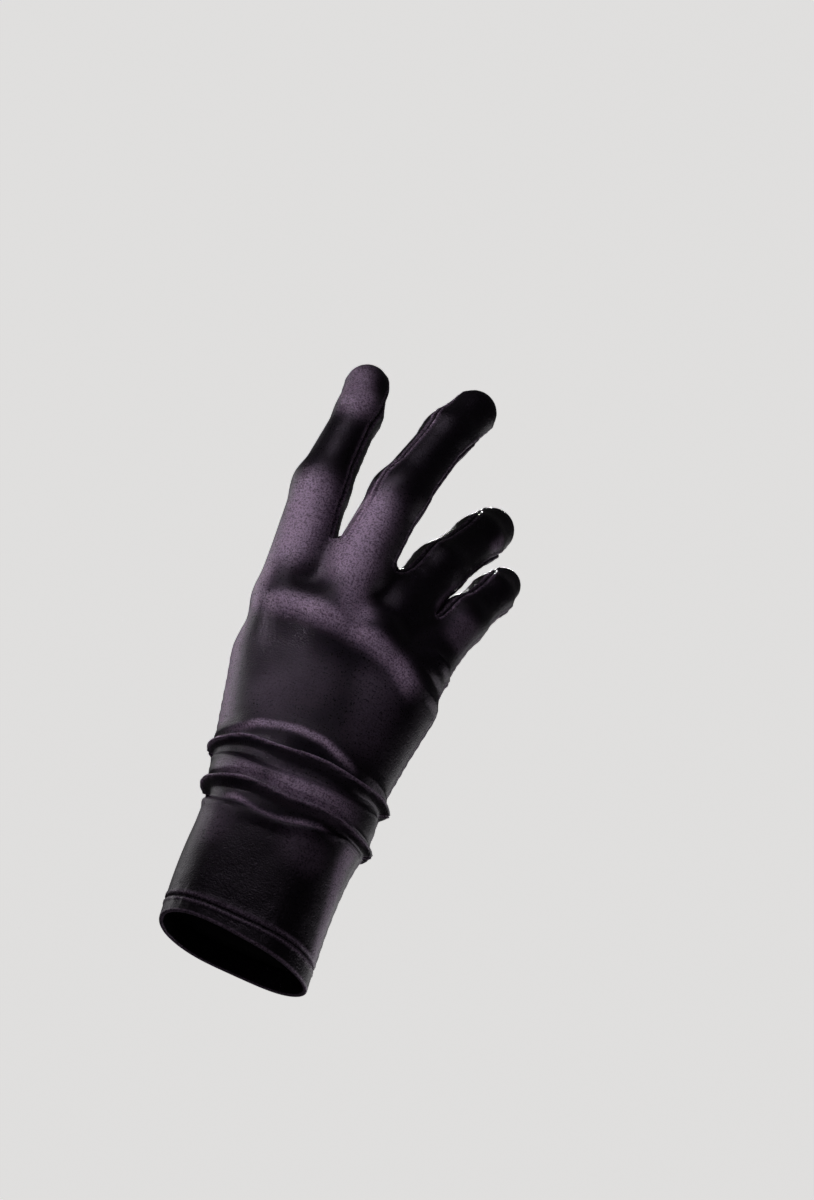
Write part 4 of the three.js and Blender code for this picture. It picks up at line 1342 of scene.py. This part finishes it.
@dataclass(frozen=True)
class StretchSatin:
    """Stretch satin: tightly woven polyester with elastane, dyed a purple black and calendered.

    The long floating threads give the eye a broad, grainy lustre that runs along them, and almost
    black cloth where no lamp is mirrored.
    """

    name: str = "stretch_satin"
    deep: str = "#050307"
    raised: str = "#0e0911"
    # pale is the colour of the painted highlights.
    pale: str = "#967f9a"
    lustre: str = "#ccb9d2"
    rough_low: float = 0.25
    rough_high: float = 0.44
    speck_low: float = 0.4     # how much weaker and stronger the painted highlight is from float to float
    speck_high: float = 1.35
    grain: float = 0.6         # mm; the real float is about 0.2 mm, drawn this coarse so that it shows
    streak: float = 0.55       # mm across the threads
    streak_length: float = 7.0
    streak_share: float = 0.3
    swell: float = 11.0        # mm between soft hollows of the worn cloth
    woven: tuple[float, float] = (0.45, 0.85)    # where the weave's noise runs from deep to raised
    speckled: tuple[float, float] = (0.52, 0.76)
    worn_gloss: float = 0.06   # how much smoother the cloth is beside its seams
    grain_height: float = 0.2
    swell_height: float = 0.64
    swell_strength: float = 0.7
    anisotropy: float = 0.2

    def make(self) -> bpy.types.Material:
        """Makes the material."""
        material, tree = new_material(self.name)
        coords = add_node(tree, "ShaderNodeTexCoord")
        place = coords.outputs["Object"]
        cloth = add_node(tree, "ShaderNodeUVMap", {"uv_map": "cloth"}).outputs["UV"]
        grain = add_node(tree, "ShaderNodeTexNoise", links={"Vector": place}, Scale=1 / (self.grain * MM),
                         Detail=2.0, Roughness=0.6)
        stretch = add_node(tree, "ShaderNodeMapping", links={"Vector": cloth},
                           Scale=(1 / self.streak_length, 1 / self.streak, 1.0))
        streak = add_node(tree, "ShaderNodeTexNoise", links={"Vector": stretch.outputs[0]}, Scale=1.0,
                          Detail=2.0)
        swell = add_node(tree, "ShaderNodeTexNoise", links={"Vector": place},
                         Scale=1 / (self.swell * MM), Detail=1.5)
        seam = add_node(tree, "ShaderNodeAttribute", {"attribute_name": "seam"}).outputs["Fac"]
        painted_highlight = add_node(tree, "ShaderNodeAttribute", {"attribute_name": "painted_highlight"}).outputs["Fac"]
        weave = weighted_sum(tree, streak.outputs["Fac"], self.streak_share, grain.outputs["Fac"])
        raised = add_node(tree, "ShaderNodeMapRange", links={"Value": weave}, From_Min=self.woven[0],
                          From_Max=self.woven[1])
        speck = add_node(tree, "ShaderNodeMapRange", links={"Value": weave}, From_Min=self.speckled[0],
                         From_Max=self.speckled[1], To_Min=self.speck_low, To_Max=self.speck_high)
        # The painted highlights, broken up by the weave's grain.
        shown = add_node(tree, "ShaderNodeMath", {"operation": "MULTIPLY", "use_clamp": True},
                         {0: painted_highlight, 1: speck.outputs[0]})
        black = mixed(tree, raised.outputs[0], self.deep, self.raised)
        rough = add_node(tree, "ShaderNodeMapRange", links={"Value": weave}, From_Min=self.woven[0],
                         From_Max=self.woven[1], To_Min=self.rough_low, To_Max=self.rough_high)
        soft = add_node(tree, "ShaderNodeBump", links={"Height": swell.outputs["Fac"]},
                        Strength=self.swell_strength, Distance=self.swell_height * MM)
        fine = add_node(tree, "ShaderNodeBump", links={"Height": weave, "Normal": soft.outputs[0]},
                        Strength=1.0, Distance=self.grain_height * MM)
        tangent = add_node(tree, "ShaderNodeTangent", {"direction_type": "UV_MAP", "uv_map": "cloth"})
        # The base colour runs from the near-black weave to the pale colour of the painted highlights.
        add_surface(tree, {"Base Color": mixed(tree, shown.outputs[0], black, self.pale),
                           "Roughness": weighted_sum(tree, seam, -self.worn_gloss, rough.outputs[0]),
                           "Normal": fine.outputs[0], "Tangent": tangent.outputs[0]},
                    Anisotropic=self.anisotropy, Specular_Tint=linear(self.lustre), Sheen_Weight=0.02,
                    Sheen_Roughness=0.4, Sheen_Tint=linear(self.lustre))
        return material


@dataclass(frozen=True)
class SatinReverse:
    """The satin's reverse: short crossing threads, which look matte and a little greyer."""

    name: str = "satin_reverse"
    deep: str = "#0e0b10"
    raised: str = "#1e1a21"
    thread: float = 0.6        # mm; the real weave is about 0.15 mm, drawn this coarse so that it shows
    height: float = 0.05

    def make(self) -> bpy.types.Material:
        """Makes the material."""
        material, tree = new_material(self.name)
        coords = add_node(tree, "ShaderNodeTexCoord")
        weave = add_node(tree, "ShaderNodeTexNoise", links={"Vector": coords.outputs["Object"]},
                         Scale=1 / (self.thread * MM), Detail=3.0)
        bump = add_node(tree, "ShaderNodeBump", links={"Height": weave.outputs["Fac"]}, Strength=0.8,
                        Distance=self.height * MM)
        add_surface(tree, {"Base Color": mixed(tree, weave.outputs["Fac"], self.deep, self.raised),
                           "Normal": bump.outputs[0]}, Roughness=0.8)
        return material


@dataclass(frozen=True)
class SewingThread:
    """Spun polyester sewing thread: two plies twisted together, a little lighter than the satin."""

    name: str = "sewing_thread"
    deep: str = "#17111b"
    raised: str = "#41364a"
    twist: float = 0.4             # mm along the thread from ply to ply
    waves_in_scale: float = 6.0    # about as many bands as Blender draws in one unit of scale
    height: float = 0.06

    def make(self) -> bpy.types.Material:
        """Makes the material."""
        material, tree = new_material(self.name)
        coords = add_node(tree, "ShaderNodeTexCoord")
        ply = add_node(tree, "ShaderNodeTexWave", {"bands_direction": "DIAGONAL"},
                       {"Vector": coords.outputs["Object"]}, Distortion=1.5,
                       Scale=1 / (self.twist * MM * self.waves_in_scale))
        bump = add_node(tree, "ShaderNodeBump", links={"Height": ply.outputs["Fac"]}, Strength=0.6,
                        Distance=self.height * MM)
        add_surface(tree, {"Base Color": mixed(tree, ply.outputs["Fac"], self.deep, self.raised),
                           "Normal": bump.outputs[0]}, Roughness=0.5)
        return material


@dataclass(frozen=True)
class StudioPaper:
    """Seamless background paper: coated stock, plain and evenly pale."""

    name: str = "studio_paper"
    tone: str = "#f4f3f2"

    def make(self) -> bpy.types.Material:
        """Makes the material."""
        material, tree = new_material(self.name)
        add_surface(tree, Base_Color=linear(self.tone), Roughness=0.9, Emission_Color=linear(self.tone),
                    Emission_Strength=0.8)
        return material


# Sub-assemblies

@dataclass
class GloveBody:
    """The back and palm panels and the strips between the fingers."""

    tailor: Tailor
    thumb: ThumbCut
    outside: bpy.types.Material
    reverse: bpy.types.Material
    wall: float = 0.9

    def build(self) -> None:
        """Makes the two panels and the three strips."""
        finishes = (self.outside, self.reverse)
        back = cloth_mesh("back_cloth", self.tailor.panel(Side.BACK))
        finish_piece(back, finishes, "back_panel", self.wall)
        palm = cloth_mesh("palm_cloth", self.tailor.panel(Side.PALM))
        self.cut_thumb_hole(palm)
        finish_piece(palm, finishes, "palm_panel", self.wall)
        names = [plan.name for plan in self.tailor.cut.hand.plans]
        for finger in range(3):
            pair = f"{names[finger]}_{names[finger + 1]}"
            strip = cloth_mesh(f"strip_{pair}", [self.tailor.fourchette(finger)])
            finish_piece(strip, finishes, f"fourchette_{pair}", self.wall)

    def cut_thumb_hole(self, mesh: bpy.types.Mesh) -> None:
        """Opens the oval in the palm and lays its edge on the seam."""
        cut = bmesh.new()
        cut.from_mesh(mesh)
        cut.faces.ensure_lookup_table()
        centres = np.array([face.calc_center_median() for face in cut.faces]) / MM
        inside = np.nonzero(self.thumb.oval_share(centres) < 1)[0]
        rim = {vert for vert in cut.verts if vert.is_boundary}
        bmesh.ops.delete(cut, geom=[cut.faces[i] for i in inside], context="FACES")
        edge = [vert for vert in cut.verts if vert.is_boundary and vert not in rim]
        seam = self.thumb.onto_oval(np.array([vert.co for vert in edge]) / MM)
        normals = skin_normals(self.tailor.cut.hand.palm, seam)
        moved, _ = self.tailor.sewn(seam, normals)
        for vert, place in zip(edge, moved):
            vert.co = Vector(place) * MM
        cut.to_mesh(mesh)
        cut.free()


@dataclass
class Thumb:
    """The set-in thumb."""

    cut: ThumbCut
    outside: bpy.types.Material
    reverse: bpy.types.Material
    wall: float = 0.9

    def build(self) -> None:
        """Makes the thumb."""
        mesh = cloth_mesh("thumb_cloth", [self.cut.grid()])
        finish_piece(mesh, (self.outside, self.reverse), "thumb", self.wall)


@dataclass
class HemBand:
    """The doubled edge of the cuff and its stitching."""

    cut: HemCut
    satin: bpy.types.Material
    thread: bpy.types.Material

    def build(self) -> None:
        """Makes the band and the stitches on it."""
        band = cloth_mesh("hem_cloth", [self.cut.grid()])
        finish_piece(band, (self.satin,), "hem_band")
        sewn = bmesh.new()
        half = self.cut.stitch_length / 2
        for middle, run, out in self.cut.stitches():
            axes = Matrix((Vector(np.cross(out, run)), Vector(out), Vector(run))).transposed().to_4x4()
            size = Matrix.Diagonal((self.cut.thread, self.cut.thread, half, 1))
            where = Matrix.Translation(Vector(middle - out * self.cut.stitch_sink))
            bmesh.ops.create_uvsphere(sewn, u_segments=8, v_segments=6, radius=1,
                                      matrix=Matrix.Scale(MM, 4) @ where @ axes @ size)
        finish_piece(new_mesh("hem_stitching", sewn), (self.thread,), None)


# Studio

@dataclass(frozen=True)
class Lamp:
    """A soft box, with its direction from its target in degrees right of and above the camera's own."""

    name: str
    target: tuple[float, float, float]
    azimuth: float
    elevation: float
    distance: float
    width: float
    height: float
    power: float
    spread: float = 180.0      # degrees that its grid lets through
    colour: str = "#ffffff"


@dataclass
class Studio:
    """The camera at the photograph's angle, the soft boxes, the dim room and the pale floor."""

    azimuth: float = 12.0
    elevation: float = -24.0
    roll: float = 22.0
    distance: float = 1.3
    lens: float = 117.0
    sensor: float = 36.0
    pixels_high: float = 1200.0
    frame_middle: tuple[float, float] = (407.0, 600.0)
    origin_pixel: tuple[float, float] = (232.0, 957.0)
    floor_height: float = -0.55
    cove_radius: float = 6.0
    room: float = 0.02
    lamps: tuple[Lamp, ...] = (
        Lamp("key_box", (-0.015, -0.01, 0.13), -60, 22, 0.7, 0.16, 0.16, 0.03, 10),
        Lamp("finger_box", (-0.015, -0.01, 0.165), -40, 46, 0.7, 0.16, 0.16, 0.016, 10),
        Lamp("top_box", (-0.01, -0.01, 0.1), -10, 72, 0.9, 0.4, 0.4, 0.16, 60),
        Lamp("low_right_box", (0.0, 0.0, 0.06), 102, -34, 0.9, 0.6, 0.5, 1.9),
        Lamp("rim_box", (0.0, 0.0, 0.1), -128, 18, 0.9, 0.6, 0.5, 1.2),
        Lamp("low_left_box", (0.0, 0.0, 0.1), -30, -34, 0.9, 0.6, 0.5, 0.25),
        Lamp("palm_box", (0.0, 0.0, 0.09), 178, 8, 0.7, 0.16, 0.16, 0.04, 10),
        Lamp("heel_box", (0.0, 0.0, 0.11), 150, -25, 1.5, 1.0, 0.8, 2.0),
    )

    def axes(self) -> tuple[Vector, Vector, Vector]:
        """Returns the camera's right, up and forward directions."""
        az, el, roll = (math.radians(turn) for turn in (self.azimuth, self.elevation, self.roll))
        level = Vector((math.cos(az), math.sin(az), 0))
        forward = Vector((-math.sin(az) * math.cos(el), math.cos(az) * math.cos(el), -math.sin(el)))
        raised = level.cross(forward)
        return (level * math.cos(roll) + raised * math.sin(roll),
                raised * math.cos(roll) - level * math.sin(roll), forward)

    def build(self) -> None:
        """Makes the camera, lamps, room and floor."""
        self.build_camera()
        for lamp in self.lamps:
            self.build_lamp(lamp)
        self.build_room()

    def build_camera(self) -> None:
        """Makes the camera where the opening's middle falls on its place in the photograph."""
        right, up, forward = self.axes()
        scale = self.distance * self.sensor / (self.lens * self.pixels_high)
        aside = (self.origin_pixel[0] - self.frame_middle[0]) * scale
        below = (self.origin_pixel[1] - self.frame_middle[1]) * scale
        data = bpy.data.cameras.new("camera")
        data.sensor_fit = "VERTICAL"
        data.sensor_height = self.sensor
        data.lens = self.lens
        turn = Matrix((right, up, -forward)).transposed().to_4x4()
        turn.translation = -forward * self.distance - right * aside + up * below
        camera = add_object("camera", data)
        camera.matrix_world = turn
        bpy.context.scene.camera = camera

    def build_lamp(self, lamp: Lamp) -> None:
        """Makes one soft box, aimed at its target."""
        right, up, forward = self.axes()
        az, el = math.radians(lamp.azimuth), math.radians(lamp.elevation)
        aim = (right * math.sin(az) - forward * math.cos(az)) * math.cos(el) + up * math.sin(el)
        data = bpy.data.lights.new(lamp.name, "AREA")
        data.shape = "RECTANGLE"
        data.size, data.size_y = lamp.width, lamp.height
        data.energy = lamp.power
        data.spread = math.radians(lamp.spread)
        data.color = linear(lamp.colour)[:3]
        light = add_object(lamp.name, data)
        light.location = Vector(lamp.target) + aim * lamp.distance
        light.rotation_euler = (-aim).to_track_quat("-Z", "Y").to_euler()

    def build_room(self) -> None:
        """Makes the dim room and the pale floor, which runs up round the glove as a cove."""
        world = bpy.data.worlds.new("room")
        world.use_nodes = True
        world.node_tree.nodes["Background"].inputs[0].default_value = (1, 1, 1, 1)
        world.node_tree.nodes["Background"].inputs[1].default_value = self.room
        bpy.context.scene.world = world
        cove = bmesh.new()
        bmesh.ops.create_uvsphere(cove, u_segments=64, v_segments=48, radius=self.cove_radius)
        for vert in cove.verts:
            vert.co.z = max(vert.co.z, self.floor_height)
        bmesh.ops.reverse_faces(cove, faces=cove.faces)
        mesh = new_mesh("floor", cove)
        mesh.materials.append(StudioPaper().make())
        floor = add_object("floor", mesh)
        floor.visible_diffuse = floor.visible_glossy = floor.visible_shadow = False


def main() -> None:
    """Loads the frame, makes the glove and the studio, and reports each piece."""
    logging.basicConfig(level=logging.INFO, format="%(name)s: %(message)s")
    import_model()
    tailor = Tailor(GloveCut(HandForm()))
    tailor.gather_seams()
    thumb = ThumbCut(tailor)
    tailor.seams.add(thumb.base())
    tailor.seams.settle()
    satin, reverse = StretchSatin().make(), SatinReverse().make()
    GloveBody(tailor, thumb, satin, reverse).build()
    Thumb(thumb, satin, reverse).build()
    HemBand(HemCut(tailor), satin, SewingThread().make()).build()
    Studio().build()
    bpy.context.scene.view_settings.view_transform = "Standard"
    LOG.info("all pieces are made")


if __name__ == "__main__":
    main()
